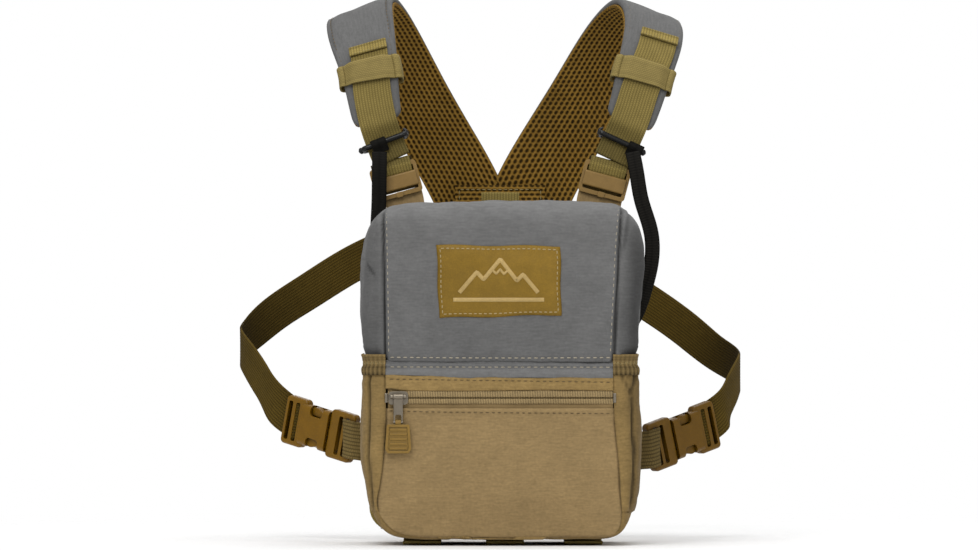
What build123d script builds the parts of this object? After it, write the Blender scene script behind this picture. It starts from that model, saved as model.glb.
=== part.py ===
from build123d import *
import math
import os

# Chest pack for binoculars on a four-point webbing harness, as worn.
# Frame: origin under the middle of the base panel, +X to the viewer's right,
# the pack's front faces -Y, the wearer's chest is on +Y, +Z is up. Millimetres.

# ---- cloth, webbing and the air between neighbouring layers ----
CLOTH = 1.5
LINING = 1.0
FOAM = 3.0
GAP = 0.3
WEBBING_WIDTH = 25.4
WEBBING_THICK = 1.5

# ---- pack body ----
HALF_WIDTH = 91.5
FRONT_Y = -50.0
REAR_Y = 41.0
PACK_TOP = 223.0
PLAN_CORNER = 15.0          # rounding between front face and sides
BASE_CORNER = 25.0          # rounding of the bottom corners, seen from the front
BASE_HALF_WIDTH = 87.5      # the sides draw in a little towards the base
FACE_HALF_WIDTH = 77.5      # seam between the front face and the side pockets
TUB_FRONT_Y = -30.0
TUB_REAR_Y = 40.0
TUB_TOP = 195.0
TUB_INSET = 6.5             # main compartment wall inside the side pockets

# ---- front face, from the base upwards ----
POCKET_FACE_TOP = 87.0
ZIP_WINDOW_TOP = 99.0
POCKET_STRIP_TOP = 108.2
HINGE_STRIP_TOP = 113.8
LID_FRONT_EDGE = 118.2
LID_SIDE_EDGE = 124.5
GUSSET_INSET = 12.0
GUSSET_TOP = 114.0
SIDE_POCKET_BASE = 17.3
SIDE_POCKET_TOP = 110.0
ELASTIC_TOP = 123.0

# ---- lid hood, hinged on its stitched front edge ----
HINGE_Y = -49.2
HINGE_Z = 117.0
LID_REAR_Y = 42.0
LID_FLAP_Z = 199.0
LID_CORNER = 16.0
LID_TOP_ROUND = 13.0
MAGNET_RADIUS = 5.0

# ---- zip ----
ZIP_Z = 94.4
ZIP_HALF_LENGTH = 74.3
COIL_HALF_HEIGHT = 2.8
COIL_SPLIT = 0.5            # half the air between the two coils
SLIDER_X = -67.5
SLIDER_LENGTH = 13.0
PIN_RADIUS = 0.8
PIN_CLEARANCE = 0.05
CROWN_Y = -53.7
CROWN_Z = 95.4
LINK_WIDTH = 6.2
LINK_LENGTH = 17.0          # from the crown pin to the tab's pin
TAB_LENGTH = 19.0

# ---- side-release buckle: u runs outboard from the mouth, v across, w out of the face ----
BUCKLE_HALF_WIDTH = 14.0
BUCKLE_FLANGE = 16.5
BUCKLE_HALF_THICK = 5.0
SOCKET_LENGTH = 40.0
PLUG_LENGTH = 22.0
CAVITY_HALF_WIDTH = 12.0
CAVITY_HALF_HEIGHT = 2.8
CAVITY_DEPTH = 21.0
BRIDGE_LENGTH = 5.0         # closed side wall at the socket's mouth
WINDOW_END = 17.5
PRONG_HALF_HEIGHT = 2.4
PRONG_PIVOT_U = -2.6
PRONG_PIVOT_V = 8.6
PRONG_KNUCKLE = 2.2
RELEASE_TRAVEL = 24.0
SQUEEZE_PER_MM = 0.0125     # prong squeeze, radians for each millimetre of release

# ---- ladder-lock buckle: x across, y up the strap, z towards the viewer ----
LADDER_HALF_WIDTH = 16.0
LADDER_HALF_LENGTH = 11.0
LADDER_HALF_THICK = 2.2
LADDER_ROLL = 15.0          # degrees
LADDER_CENTRE = (70.0, 49.0, 239.0)

# ---- shoulder straps ----
PAD_WIDTH = 47.0
STRAP_ROLL = 21.0           # the inner edge sits higher than the outer, degrees
MESH = 2.0
PAD_FOAM = 4.0
KEEPER_HALF_WIDTH = 16.5
KEEPER_TRAVEL = 8.0

# Centre lines as worn, outboard distance first: over the shoulder and down to the yoke.
SHOULDER_PATH = {
    "left": [
        (71.5, 48.5, 250.5), (78.0, 51.0, 266.0), (81.5, 53.0, 277.0), (87.0, 63.0, 310.0),
        (91.3, 79.0, 331.0), (93.6, 100.0, 345.5), (91.5, 125.0, 350.5), (82.0, 157.0, 340.0),
        (57.5, 195.0, 295.0), (41.0, 209.0, 266.0), (22.6, 214.0, 232.5), (11.0, 214.5, 200.0),
    ],
    "right": [
        (74.0, 48.5, 250.5), (81.0, 51.0, 265.5), (86.0, 53.0, 277.0), (96.0, 63.0, 310.0),
        (101.5, 80.0, 331.0), (101.8, 101.0, 343.5), (97.0, 125.0, 349.5), (84.0, 157.0, 339.5),
        (58.0, 195.0, 295.0), (41.0, 209.0, 266.0), (22.6, 214.0, 232.5), (11.0, 214.5, 200.0),
    ],
}
# Belts, from the buckle socket round the ribs to the yoke.
BELT_PATH = {
    "left": [
        (142.0, 88.0, 80.0), (148.5, 94.0, 86.0), (161.0, 108.5, 103.0), (172.5, 130.0, 120.0),
        (176.5, 150.0, 127.5), (171.0, 169.0, 134.5), (156.0, 184.0, 148.0), (133.0, 197.0, 163.5),
        (99.0, 209.0, 184.5), (52.0, 221.5, 205.0), (30.0, 224.4, 214.5), (-4.0, 224.6, 226.0),
    ],
    "right": [
        (142.0, 88.0, 77.0), (147.5, 94.0, 82.0), (154.5, 106.0, 93.0), (161.0, 127.0, 105.5),
        (162.5, 147.0, 111.0), (156.5, 167.0, 116.5), (146.5, 181.0, 123.0), (128.0, 194.5, 138.0),
        (99.0, 208.5, 158.5), (52.0, 221.5, 188.5), (30.0, 224.4, 202.0), (-4.0, 224.6, 216.0),
    ],
}
# Buckle plugs: where the webbing end of each plug stands, and where the socket ends.
PLUG_END = {"left": (97.8, 51.0, 65.0), "right": (99.5, 51.0, 59.0)}
SOCKET_END = {"left": (144.9, 90.0, 79.2), "right": (145.1, 90.9, 75.6)}
# Black tethers, from the sliding keeper down to where they are sewn in behind the lid.
TETHER_PATH = {
    "left": [(81.0, 39.8, 258.0), (81.0, 37.8, 246.0), (81.2, 40.0, 234.0), (81.5, 43.4, 222.0),
             (82.5, 43.7, 201.0)],
    "right": [(86.5, 39.8, 258.0), (89.5, 38.0, 246.0), (94.5, 40.0, 226.0), (101.0, 43.0, 204.0),
              (101.5, 45.0, 186.0), (97.0, 46.5, 166.0), (92.5, 47.0, 152.0)],
}
SIDES = {"left": -1, "right": 1}

nodes = {}


def block(x0, x1, y0, y1, z0, z1):
    """Box between two corners."""
    size = Box(x1 - x0, y1 - y0, z1 - z0)
    return Pos((x0 + x1) / 2, (y0 + y1) / 2, (z0 + z1) / 2) * size


def rounded(shape, axis, radius):
    """Round the edges that run along an axis."""
    return fillet(shape.edges().filter_by(axis), radius)


def pack_outline(inset, top, bottom=0.0):
    """Front-view outline of the pack body: sides draw in to rounded bottom corners."""
    half = HALF_WIDTH - inset
    base_half = BASE_HALF_WIDTH - inset
    corner = BASE_CORNER - inset / 2
    low = bottom + inset
    wire = Polyline(
        (-base_half, low + corner), (-half, top), (half, top), (base_half, low + corner)
    )
    wire += RadiusArc((base_half, low + corner), (base_half - corner, low), corner)
    wire += Line((base_half - corner, low), (-base_half + corner, low))
    wire += RadiusArc((-base_half + corner, low), (-base_half, low + corner), corner)
    return make_face(wire)


def pack_body(inset, top, y0, y1, corner):
    """Solid of the pack body, a given distance inside its outer skin."""
    face = Plane.XZ * pack_outline(inset, top)
    slab = Pos(0, y1, 0) * extrude(face, y1 - y0)
    half = HALF_WIDTH - inset
    plan = rounded(block(-half, half, y0, y1 + corner, -5, top + 5), Axis.Z, corner)
    return slab & plan


def hood(inset):
    """Solid of the lid, a given distance inside its outer skin."""
    half = HALF_WIDTH - inset
    y0 = FRONT_Y + inset
    body = block(-half, half, y0, LID_REAR_Y - inset, LID_FRONT_EDGE - 30, PACK_TOP - inset)
    upright = body.edges().filter_by(Axis.Z).group_by(Axis.Y)[0]
    body = fillet(upright, LID_CORNER - inset)
    top = body.faces().sort_by(Axis.Z)[-1]
    return fillet(top.edges(), LID_TOP_ROUND - inset)


def hood_shell(outer, inner, front_edge, side_edge):
    """Lid layer between two insets, open below and behind, with a short flap at the rear."""
    shell = hood(outer) - hood(inner)
    shell -= block(-FACE_HALF_WIDTH, FACE_HALF_WIDTH, -60, 60, 0, front_edge)
    shell -= block(-100, -FACE_HALF_WIDTH, -60, 60, 0, side_edge)
    shell -= block(FACE_HALF_WIDTH, 100, -60, 60, 0, side_edge)
    shell -= block(-100, 100, LID_REAR_Y - inner - 0.01, 60, 0, LID_FLAP_Z)
    return shell


def make_lid():
    nodes["lid_shell"] = hood_shell(0, CLOTH, LID_FRONT_EDGE, LID_SIDE_EDGE)
    lining_in = CLOTH + GAP
    nodes["lid_lining"] = hood_shell(lining_in, lining_in + LINING, LID_FRONT_EDGE + 6, LID_SIDE_EDGE + 6)
    patch = block(-42, 40, FRONT_Y - GAP - 1.6, FRONT_Y - GAP, 148, 195.5)
    nodes["lid_patch"] = rounded(patch, Axis.Y, 1.5)
    magnet = Rotation(90, 0, 0) * Cylinder(MAGNET_RADIUS, 2)
    magnet_y = LID_REAR_Y - lining_in - LINING - GAP - 1
    nodes["lid_magnets"] = Compound([Pos(x, magnet_y, 204.6) * magnet for x in (-40, 40)])
    half = WEBBING_WIDTH / 2
    tab = block(-half, half, LID_REAR_Y + GAP, LID_REAR_Y + GAP + 2.2, 200, 229.5)
    nodes["lid_pull_tab"] = rounded(tab, Axis.X, 1.0)


def make_tub():
    tub = pack_body(TUB_INSET, TUB_TOP, TUB_FRONT_Y, TUB_REAR_Y, 12)
    tub_in = pack_body(TUB_INSET + CLOTH, TUB_TOP + 5, TUB_FRONT_Y + CLOTH, TUB_REAR_Y - CLOTH, 10.5)
    nodes["main_shell"] = tub - tub_in
    near = CLOTH + GAP
    foam = pack_body(TUB_INSET + near, TUB_TOP - 4, TUB_FRONT_Y + near, TUB_REAR_Y - near, 10)
    far = near + FOAM
    foam_in = pack_body(TUB_INSET + far, TUB_TOP + 5, TUB_FRONT_Y + far, TUB_REAR_Y - far, 8)
    nodes["foam_liner"] = foam - foam_in
    magnet = Rotation(90, 0, 0) * Cylinder(MAGNET_RADIUS, 2)
    magnet_y = TUB_REAR_Y - far - GAP - 1
    nodes["body_magnets"] = Compound([Pos(x, magnet_y, 182) * magnet for x in (-40, 40)])


def make_back():
    board = block(-80, 80, TUB_REAR_Y + GAP, TUB_REAR_Y + GAP + 1.6, 24, 190)
    nodes["back_board"] = rounded(board, Axis.Y, 10)
    pad = block(-86, 86, TUB_REAR_Y + 2.3, 50, 6, 196)
    nodes["back_panel"] = rounded(pad, Axis.Y, 14)


def make_lower_cover():
    """Outer skin of the lower body: front face, base, side pockets and their elastic."""
    skin = pack_body(0, ELASTIC_TOP, FRONT_Y, REAR_Y, PLAN_CORNER)
    skin -= pack_body(CLOTH, ELASTIC_TOP + 5, FRONT_Y + CLOTH, REAR_Y + 5, PLAN_CORNER - CLOTH)
    face = FACE_HALF_WIDTH
    front = FRONT_Y + CLOTH + GAP
    nodes["pocket_face"] = skin & block(-face, face, FRONT_Y - 5, front - GAP, -5, POCKET_FACE_TOP)
    nodes["base_panel"] = skin & block(-100, 100, front, REAR_Y, -5, SIDE_POCKET_BASE - GAP)
    strip_y = (FRONT_Y, FRONT_Y + CLOTH)
    nodes["pocket_top_strip"] = block(-face, face, *strip_y, ZIP_WINDOW_TOP, POCKET_STRIP_TOP)
    nodes["hinge_strip"] = block(-face, face, *strip_y, POCKET_STRIP_TOP + GAP, HINGE_STRIP_TOP)
    for name, side in SIDES.items():
        near = side * (face + GAP)
        far = side * 100
        x0, x1 = min(near, far), max(near, far)
        pocket = skin & block(x0, x1, -60, REAR_Y, SIDE_POCKET_BASE, SIDE_POCKET_TOP)
        nodes[f"side_pocket_{name}"] = pocket
        band = skin & block(x0, x1, -60, REAR_Y, SIDE_POCKET_TOP + GAP, ELASTIC_TOP)
        nodes[f"side_pocket_elastic_{name}"] = band


def make_front_pocket():
    """Gusset between the front face and the main compartment, with its roof."""
    y0, y1 = FRONT_Y + CLOTH + GAP, TUB_FRONT_Y - GAP
    outer = pack_body(GUSSET_INSET, GUSSET_TOP, y0, y1, 1)
    inner = pack_body(GUSSET_INSET + CLOTH, GUSSET_TOP - CLOTH, y0 - 1, y1 + 1, 1)
    nodes["pocket_gusset"] = outer - inner


def make_zip():
    half = ZIP_HALF_LENGTH
    tape_y = (-48.0, -47.4)
    upper = block(-half, half, *tape_y, ZIP_Z + 0.7, ZIP_WINDOW_TOP + 4)
    lower = block(-half, half, *tape_y, POCKET_FACE_TOP - 5, ZIP_Z - 0.7)
    nodes["zip_tapes"] = Compound([upper, lower])
    coil_y = (-49.6, -48.2)
    top = block(-half, half, *coil_y, ZIP_Z + COIL_SPLIT, ZIP_Z + COIL_HALF_HEIGHT)
    bottom = block(-half, half, *coil_y, ZIP_Z - COIL_HALF_HEIGHT, ZIP_Z - COIL_SPLIT)
    nodes["zip_coil"] = Compound([top, bottom])
    stop = block(-0.9, 0.9, -50.6, -48.1, ZIP_Z - 3.2, ZIP_Z + 3.2)
    stop = rounded(stop, Axis.X, 0.6)
    nodes["zip_stops"] = Compound([Pos(x, 0, 0) * stop for x in (-half - 1.1, half + 1.1)])


def make_slider():
    """Zip slider: two plates joined by a thin post, side flanges and the crown pin."""
    half = SLIDER_LENGTH / 2
    front = block(-half, half, -51.3, -49.9, ZIP_Z - 4.4, ZIP_Z + 4.4)
    front = rounded(front, Axis.Y, 2.4)
    rear = rounded(block(-half, half, -47.1, -46.0, ZIP_Z - 4.6, ZIP_Z + 4.6), Axis.Y, 2.4)
    flange = block(-half + 2.4, half - 2.4, -50.5, -48.4, ZIP_Z + 3.3, ZIP_Z + 4.4)
    post = block(half - 4, half - 1.5, -51, -46.5, ZIP_Z - 0.3, ZIP_Z + 0.3)
    body = front + rear + flange + mirror(flange, Plane.XY.offset(ZIP_Z)) + post
    pin = Pos(0, CROWN_Y, CROWN_Z) * Rotation(0, 90, 0) * Cylinder(PIN_RADIUS, LINK_WIDTH + 4)
    foot_x = LINK_WIDTH / 2 + 1.2
    foot = block(foot_x - 0.8, foot_x + 0.8, CROWN_Y, -51, CROWN_Z - 1.4, CROWN_Z + 1.4)
    cap = Pos(foot_x, CROWN_Y, CROWN_Z) * Rotation(0, 90, 0) * Cylinder(1.4, 1.6)
    cheek = foot + cap
    body += pin + cheek + mirror(cheek, Plane.YZ)
    nodes["zip_slider"] = Pos(SLIDER_X, 0, 0) * body


def make_pull():
    """Metal link hanging from the crown pin, and the moulded tab on its lower bar."""
    along_x = Rotation(0, 90, 0)
    low_z = CROWN_Z - LINK_LENGTH
    hole = PIN_RADIUS + PIN_CLEARANCE
    half = LINK_WIDTH / 2
    eye = Pos(0, CROWN_Y, CROWN_Z) * along_x * Cylinder(1.9, LINK_WIDTH)
    shank = block(-half, half, CROWN_Y - 0.7, CROWN_Y + 0.7, low_z, CROWN_Z)
    shank = rounded(shank, Axis.Z, 0.5)
    window = rounded(block(-2.1, 2.1, -60, -45, low_z - 3, low_z + 5), Axis.Y, 1.2)
    link = eye + shank - window - Pos(0, CROWN_Y, CROWN_Z) * along_x * Cylinder(hole, 20)
    link += Pos(0, CROWN_Y, low_z) * along_x * Cylinder(PIN_RADIUS, LINK_WIDTH)
    nodes["pull_link"] = Pos(SLIDER_X, 0, 0) * link

    knuckle = Pos(0, CROWN_Y, low_z) * along_x * Cylinder(1.8, 3.6)
    top_z = low_z - 1.4
    bottom_z = top_z - TAB_LENGTH
    outline = make_face(
        Polyline(
            (-7.4, top_z), (7.4, top_z), (8.6, bottom_z + 3), (7.0, bottom_z), (-7.0, bottom_z),
            (-8.6, bottom_z + 3), close=True,
        )
    )
    core = Pos(0, CROWN_Y + 1.6, 0) * extrude(Plane.XZ * outline, 3.2)
    core = fillet(core.edges().filter_by(Axis.Y), 1.0)
    recess = offset(outline, -1.6, kind=Kind.INTERSECTION)
    core -= Pos(0, CROWN_Y - 1.1, 0) * extrude(Plane.XZ * recess, 2)
    rib_pitch = 3.1
    for i in range(5):
        z = top_z - 3.4 - i * rib_pitch
        core += block(-5.6, 5.6, CROWN_Y - 1.55, CROWN_Y - 1.0, z - 0.7, z + 0.7)
    neck = block(-1.8, 1.8, CROWN_Y - 1.2, CROWN_Y + 1.2, top_z - 1, low_z)
    tab = core + knuckle + neck - Pos(0, CROWN_Y, low_z) * along_x * Cylinder(hole, 20)
    nodes["pull_tab"] = Pos(SLIDER_X, 0, 0) * tab


def make_base_loops():
    """Flat webbing loops sewn across the base, front to back."""
    loops = []
    for x in (-52, 3, 55):
        profile = make_face(
            Polyline((-38, -0.3), (-30, -0.3), (-26, -1.4), (26, -1.4), (30, -0.3), (38, -0.3),
                     (38, -1.8), (30, -1.8), (26, -2.9), (-26, -2.9), (-30, -1.8), (-38, -1.8), close=True)
        )
        half = WEBBING_WIDTH / 2
        loops.append(Pos(x - half, 0, 0) * extrude(Plane.YZ * profile, WEBBING_WIDTH))
    nodes["base_loops"] = Compound(loops)


def section(centre, wide, out, half, low, high):
    """Rectangular cross-section of a band."""
    corners = [
        centre + wide * -half + out * low,
        centre + wide * half + out * low,
        centre + wide * half + out * high,
        centre + wide * -half + out * high,
    ]
    return make_face(Polyline(*corners, close=True))


def band(points, side, reference, width, low, high, start=0.0, end=1.0, stations=14):
    """Band along a path, between two heights above it; the heights may change along it."""
    path = Spline(*[Vector(side * x, y, z) for x, y, z in points])
    faces = []
    for i in range(stations + 1):
        t = start + (end - start) * i / stations
        centre, along = path.position_at(t), path.tangent_at(t)
        wide = (reference - along * along.dot(reference)).normalized()
        out = along.cross(wide) * side
        lift = low(t) if callable(low) else low
        faces.append(section(centre, wide, out, width / 2, lift, lift + high))
    return loft(faces, ruled=True)


def shoulder_band(name, width, low, thick, start, end, stations):
    side = SIDES[name]
    roll = math.radians(STRAP_ROLL)
    reference = Vector(-side * math.cos(roll), 0, math.sin(roll))
    return band(SHOULDER_PATH[name], side, reference, width, low, thick, start, end, stations)


def beyond_middle(side):
    """Everything on the far side of the middle plane, behind the wearer's back."""
    x0, x1 = sorted((side * 0.15, -side * 120))
    return block(x0, x1, 100, 300, 150, 400)


def ease(t, t0, t1):
    """Smooth step from 0 to 1 between two places on a path."""
    s = min(max((t - t0) / (t1 - t0), 0.0), 1.0)
    return s * s * (3 - 2 * s)


PAD_START = 0.085           # where the padded part begins, as a share of the shoulder path
BAND_START, BAND_END = 0.155, 0.20
TAIL_END = 0.255
TAIL_AIR = 0.6              # extra air under the tail where it crosses the curved pad


def make_shoulder(name):
    """Padded strap in three layers, its webbing, the adjustment tail and the elastic band."""
    side = SIDES[name]
    other_half = beyond_middle(side)
    stack = {"pad_mesh": (0.0, MESH), "pad_foam": (MESH + GAP, PAD_FOAM)}
    stack["pad_cover"] = (MESH + PAD_FOAM + 2 * GAP, LINING)
    for layer, (low, thick) in stack.items():
        pad = shoulder_band(name, PAD_WIDTH, low, thick, PAD_START, 1.0, 22)
        nodes[f"{layer}_{name}"] = pad - other_half
    pad_height = MESH + PAD_FOAM + LINING + 2 * GAP
    lock_zone = ladder_plane(name) * block(-40, 40, -60, LADDER_HALF_LENGTH + 0.4, -40, 40)
    webbing = shoulder_band(name, WEBBING_WIDTH, 0.0, WEBBING_THICK, 0.0, PAD_START - 0.002, 4)
    nodes[f"strap_webbing_{name}"] = webbing - lock_zone

    def tail_low(t):
        return WEBBING_THICK + GAP + (pad_height - WEBBING_THICK + TAIL_AIR) * ease(t, 0.05, PAD_START - 0.006)

    tail = shoulder_band(name, WEBBING_WIDTH, tail_low, WEBBING_THICK, 0.0, TAIL_END, 20)
    nodes[f"strap_tail_{name}"] = tail - lock_zone
    ring_low, ring_high = -1.9, pad_height + WEBBING_THICK + TAIL_AIR + 2 * GAP + 1.5
    outer = shoulder_band(name, PAD_WIDTH + 4.4, ring_low, ring_high - ring_low, BAND_START, BAND_END, 4)
    inner_low = ring_low + 1.1
    inner = shoulder_band(
        name, PAD_WIDTH + 2.0, inner_low, ring_high - 1.1 - inner_low, BAND_START - 0.01, BAND_END + 0.01, 6
    )
    nodes[f"strap_band_{name}"] = outer - inner


def make_yoke():
    inner = rounded(block(-31, 31, 210.6, 212.2, 186, 233), Axis.Y, 3)
    nodes["yoke_patch_inner"] = inner
    outer = rounded(block(-31, 31, 226.3, 227.9, 186, 240), Axis.Y, 3)
    nodes["yoke_patch_outer"] = outer


def make_belt(name):
    side = SIDES[name]
    up = Vector(0, 0, 1)
    path = BELT_PATH[name]
    belt = band(path, side, up, WEBBING_WIDTH, -WEBBING_THICK / 2, WEBBING_THICK, 0, 1, 22)
    plane = buckle_plane(name)
    socket_zone = plane * block(-60, SOCKET_LENGTH + 0.5, -40, 40, -30, 30)
    nodes[f"belt_{name}"] = belt - beyond_middle(side) - socket_zone
    end = PLUG_END[name]
    stub_path = [(89.8, 46.3, end[2] - 2.6), (92.5, 48.2, end[2] - 1.6), (end[0] + 4, end[1] + 3.4, end[2] + 1)]
    stub = band(stub_path, side, up, WEBBING_WIDTH, -WEBBING_THICK / 2, WEBBING_THICK, 0, 1, 3)
    plug_zone = plane * block(-PLUG_LENGTH - 0.5, 60, -40, 40, -30, 30)
    nodes[f"belt_stub_{name}"] = stub - plug_zone


def buckle_plane(name):
    """Plane of a buckle: origin at the mouth, x outboard, z out of the visible face."""
    side = SIDES[name]
    start, end = [Vector(side * p[name][0], p[name][1], p[name][2]) for p in (PLUG_END, SOCKET_END)]
    along = (end - start).normalized()
    out = along.cross(Vector(0, 0, 1)).normalized() * side
    return Plane(origin=start + along * PLUG_LENGTH, x_dir=along, z_dir=out)


def make_socket(name):
    thick = BUCKLE_HALF_THICK
    sleeve = block(0, 24, -BUCKLE_HALF_WIDTH, BUCKLE_HALF_WIDTH, -thick, thick)
    sleeve = rounded(sleeve, Axis.X, 3.2)
    flange = block(21, SOCKET_LENGTH, -BUCKLE_FLANGE, BUCKLE_FLANGE, -3.4, 3.4)
    flange = rounded(rounded(flange, Axis.Z, 3.0), Axis.Y, 1.6)
    body = sleeve + flange
    body -= block(-1, CAVITY_DEPTH, -CAVITY_HALF_WIDTH, CAVITY_HALF_WIDTH, -CAVITY_HALF_HEIGHT, CAVITY_HALF_HEIGHT)
    window = block(BRIDGE_LENGTH, WINDOW_END, 8.6, 20, -CAVITY_HALF_HEIGHT, CAVITY_HALF_HEIGHT)
    thumb = rounded(block(BRIDGE_LENGTH + 0.6, WINDOW_END - 1, 7.4, 20, 0, 10), Axis.Z, 2.5)
    for cut in (window, thumb):
        body -= cut
        body -= mirror(cut, Plane.XZ)
    for u in (27.2, 33.6):
        body -= rounded(block(u, u + 3.6, -13.2, 13.2, -9, 9), Axis.Z, 1.2)
    nodes[f"buckle_socket_{name}"] = buckle_plane(name) * body


def make_plug(name):
    base = block(-PLUG_LENGTH, -0.4, -BUCKLE_FLANGE, BUCKLE_FLANGE, -3.4, 3.4)
    base = rounded(rounded(base, Axis.Z, 3.0), Axis.Y, 1.6)
    tongue = rounded(block(-1, 9, -2.6, 2.6, -2.2, 2.2), Axis.Z, 1.0)
    body = base + tongue
    for u in (-18.0, -12.0):
        body -= rounded(block(u, u + 3.6, -13.2, 13.2, -9, 9), Axis.Z, 1.2)
    for v in (-PRONG_PIVOT_V, PRONG_PIVOT_V):
        seat = Pos(PRONG_PIVOT_U, v, 0) * Cylinder(PRONG_KNUCKLE + PIN_CLEARANCE, 2 * PRONG_HALF_HEIGHT + 0.4)
        inner_v = v - math.copysign(3.6, v)
        outer_v = v + math.copysign(2.6, v)
        throat = block(PRONG_PIVOT_U + 0.6, 1, *sorted((inner_v, outer_v)), -2.6, 2.6)
        body -= seat + throat
    nodes[f"buckle_plug_{name}"] = buckle_plane(name) * body


def make_prongs(name):
    """Two springing prongs; each bulges through a side window and bends in about its root."""
    outline = Polyline((0.4, 7.2), (PRONG_PIVOT_U, 7.2), (PRONG_PIVOT_U, 10.2), (0.0, 11.2), (5.4, 11.7))
    outline += Spline((5.4, 11.7), (9.6, 12.4), (13.0, 13.6), (15.6, 13.2), (17.2, 11.7), (19.4, 8.6))
    outline += Line((19.4, 8.6), (17.0, 8.2))
    outline += Line((17.0, 8.2), (0.4, 7.2))
    arm = Pos(0, 0, -PRONG_HALF_HEIGHT) * extrude(make_face(outline), 2 * PRONG_HALF_HEIGHT)
    knuckle = Pos(PRONG_PIVOT_U, PRONG_PIVOT_V, 0) * Cylinder(PRONG_KNUCKLE, 2 * PRONG_HALF_HEIGHT)
    upper = arm + knuckle
    plane = buckle_plane(name)
    nodes[f"prong_{name}_a"] = plane * upper
    nodes[f"prong_{name}_b"] = plane * mirror(upper, Plane.XZ)


def ladder_plane(name):
    side = SIDES[name]
    roll = math.radians(LADDER_ROLL)
    x, y, z = LADDER_CENTRE
    across = Vector(math.cos(roll), 0, -side * math.sin(roll))
    return Plane(origin=(side * x, y, z), x_dir=across, z_dir=(0, -1, 0))


def make_ladder_lock(name):
    half = LADDER_HALF_THICK
    frame = block(-LADDER_HALF_WIDTH, LADDER_HALF_WIDTH, -LADDER_HALF_LENGTH, LADDER_HALF_LENGTH, -half, half)
    frame = rounded(frame, Axis.Z, 2.5)
    inside = LADDER_HALF_WIDTH - 2.4
    frame -= rounded(block(-inside, inside, -8.2, 8.2, -9, 9), Axis.Z, 0.8)
    lever = rounded(block(-inside - 0.5, inside + 0.5, -6.2, 4.0, -1.2, half + 1.0), Axis.X, 1.2)
    nub = rounded(block(-2.2, 2.2, -11.5, -8.0, 0, half + 0.8), Axis.Z, 0.8)
    body = frame + lever + nub
    nodes[f"ladder_lock_{name}"] = ladder_plane(name) * body


def make_anchor_tab(name):
    """Cloth tab that ties the ladder-lock to the top of the back panel."""
    side = SIDES[name]
    plane = ladder_plane(name)
    top = plane.from_local_coords(Vector(0, -LADDER_HALF_LENGTH - 3.4, 0))
    foot = (side * top.X - 2.5, 46.0, 200.8)
    path = [foot, (side * top.X - 1.4, 47.0, 211.0), (side * top.X, top.Y, top.Z)]
    roll = math.radians(LADDER_ROLL)
    reference = Vector(-side * math.cos(roll), 0, math.sin(roll))
    nodes[f"anchor_tab_{name}"] = band(path, side, reference, 30.0, -1.0, 2.0, 0, 1, 5)


def keeper_plane(name):
    """Plane of the sliding keeper: on the strap between ladder-lock and pad."""
    side = SIDES[name]
    path = Spline(*[Vector(side * x, y, z) for x, y, z in SHOULDER_PATH[name]])
    t = 0.043
    roll = math.radians(STRAP_ROLL)
    reference = Vector(-side * math.cos(roll), 0, math.sin(roll))
    along = path.tangent_at(t)
    wide = (reference - along * along.dot(reference)).normalized()
    out = along.cross(wide) * side
    return Plane(origin=path.position_at(t), x_dir=wide, z_dir=out)


def make_keeper(name):
    """Black slip-on bar keeper round the two webbing layers."""
    ring = block(-KEEPER_HALF_WIDTH, KEEPER_HALF_WIDTH, -2.2, 2.2, -2.8, 6.6)
    ring = rounded(rounded(ring, Axis.X, 1.8), Axis.Z, 1.2)
    ring -= block(-13.4, 13.4, -9, 9, -0.5, 4.1)
    nodes[f"keeper_{name}"] = keeper_plane(name) * ring


def make_tether(name):
    """Black ribbed tether that hangs from the keeper and is sewn in behind the lid."""
    side = SIDES[name]
    across = Vector(-side, 0, 0)
    nodes[f"tether_{name}"] = band(TETHER_PATH[name], side, across, 10.0, -0.7, 1.4, 0, 1, 12)


make_lid()
make_tub()
make_back()
make_lower_cover()
make_front_pocket()
make_zip()
make_slider()
make_pull()
make_base_loops()
make_yoke()
for side_name in SIDES:
    make_shoulder(side_name)
    make_belt(side_name)
    make_socket(side_name)
    make_plug(side_name)
    make_prongs(side_name)
    make_ladder_lock(side_name)
    make_anchor_tab(side_name)
    make_keeper(side_name)
    make_tether(side_name)

os.makedirs("parts", exist_ok=True)
for node_name, shape in nodes.items():
    export_step(shape, f"parts/{node_name}.step")
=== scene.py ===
import math

import bmesh
import bpy
import numpy as np
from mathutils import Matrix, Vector, noise


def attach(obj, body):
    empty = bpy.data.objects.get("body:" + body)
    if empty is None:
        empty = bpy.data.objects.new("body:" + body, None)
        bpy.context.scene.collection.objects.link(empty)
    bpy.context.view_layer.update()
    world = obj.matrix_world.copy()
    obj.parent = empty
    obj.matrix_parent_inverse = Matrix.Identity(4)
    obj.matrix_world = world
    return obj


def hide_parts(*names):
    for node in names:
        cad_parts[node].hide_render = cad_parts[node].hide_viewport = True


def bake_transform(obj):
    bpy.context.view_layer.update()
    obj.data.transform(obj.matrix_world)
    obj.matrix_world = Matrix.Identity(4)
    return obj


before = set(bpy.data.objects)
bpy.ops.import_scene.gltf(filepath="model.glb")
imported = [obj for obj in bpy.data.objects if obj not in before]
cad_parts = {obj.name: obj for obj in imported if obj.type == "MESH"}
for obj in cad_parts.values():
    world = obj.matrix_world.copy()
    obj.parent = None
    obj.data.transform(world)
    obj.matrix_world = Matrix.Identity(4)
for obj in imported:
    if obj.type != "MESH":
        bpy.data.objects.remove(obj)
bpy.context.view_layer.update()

# Everything below is written in millimetres in the CAD frame and scaled once, when a mesh is made.
MM = 0.001
SIDES = {"left": -1, "right": 1}
FORWARD = (0, -1, 0)

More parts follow.
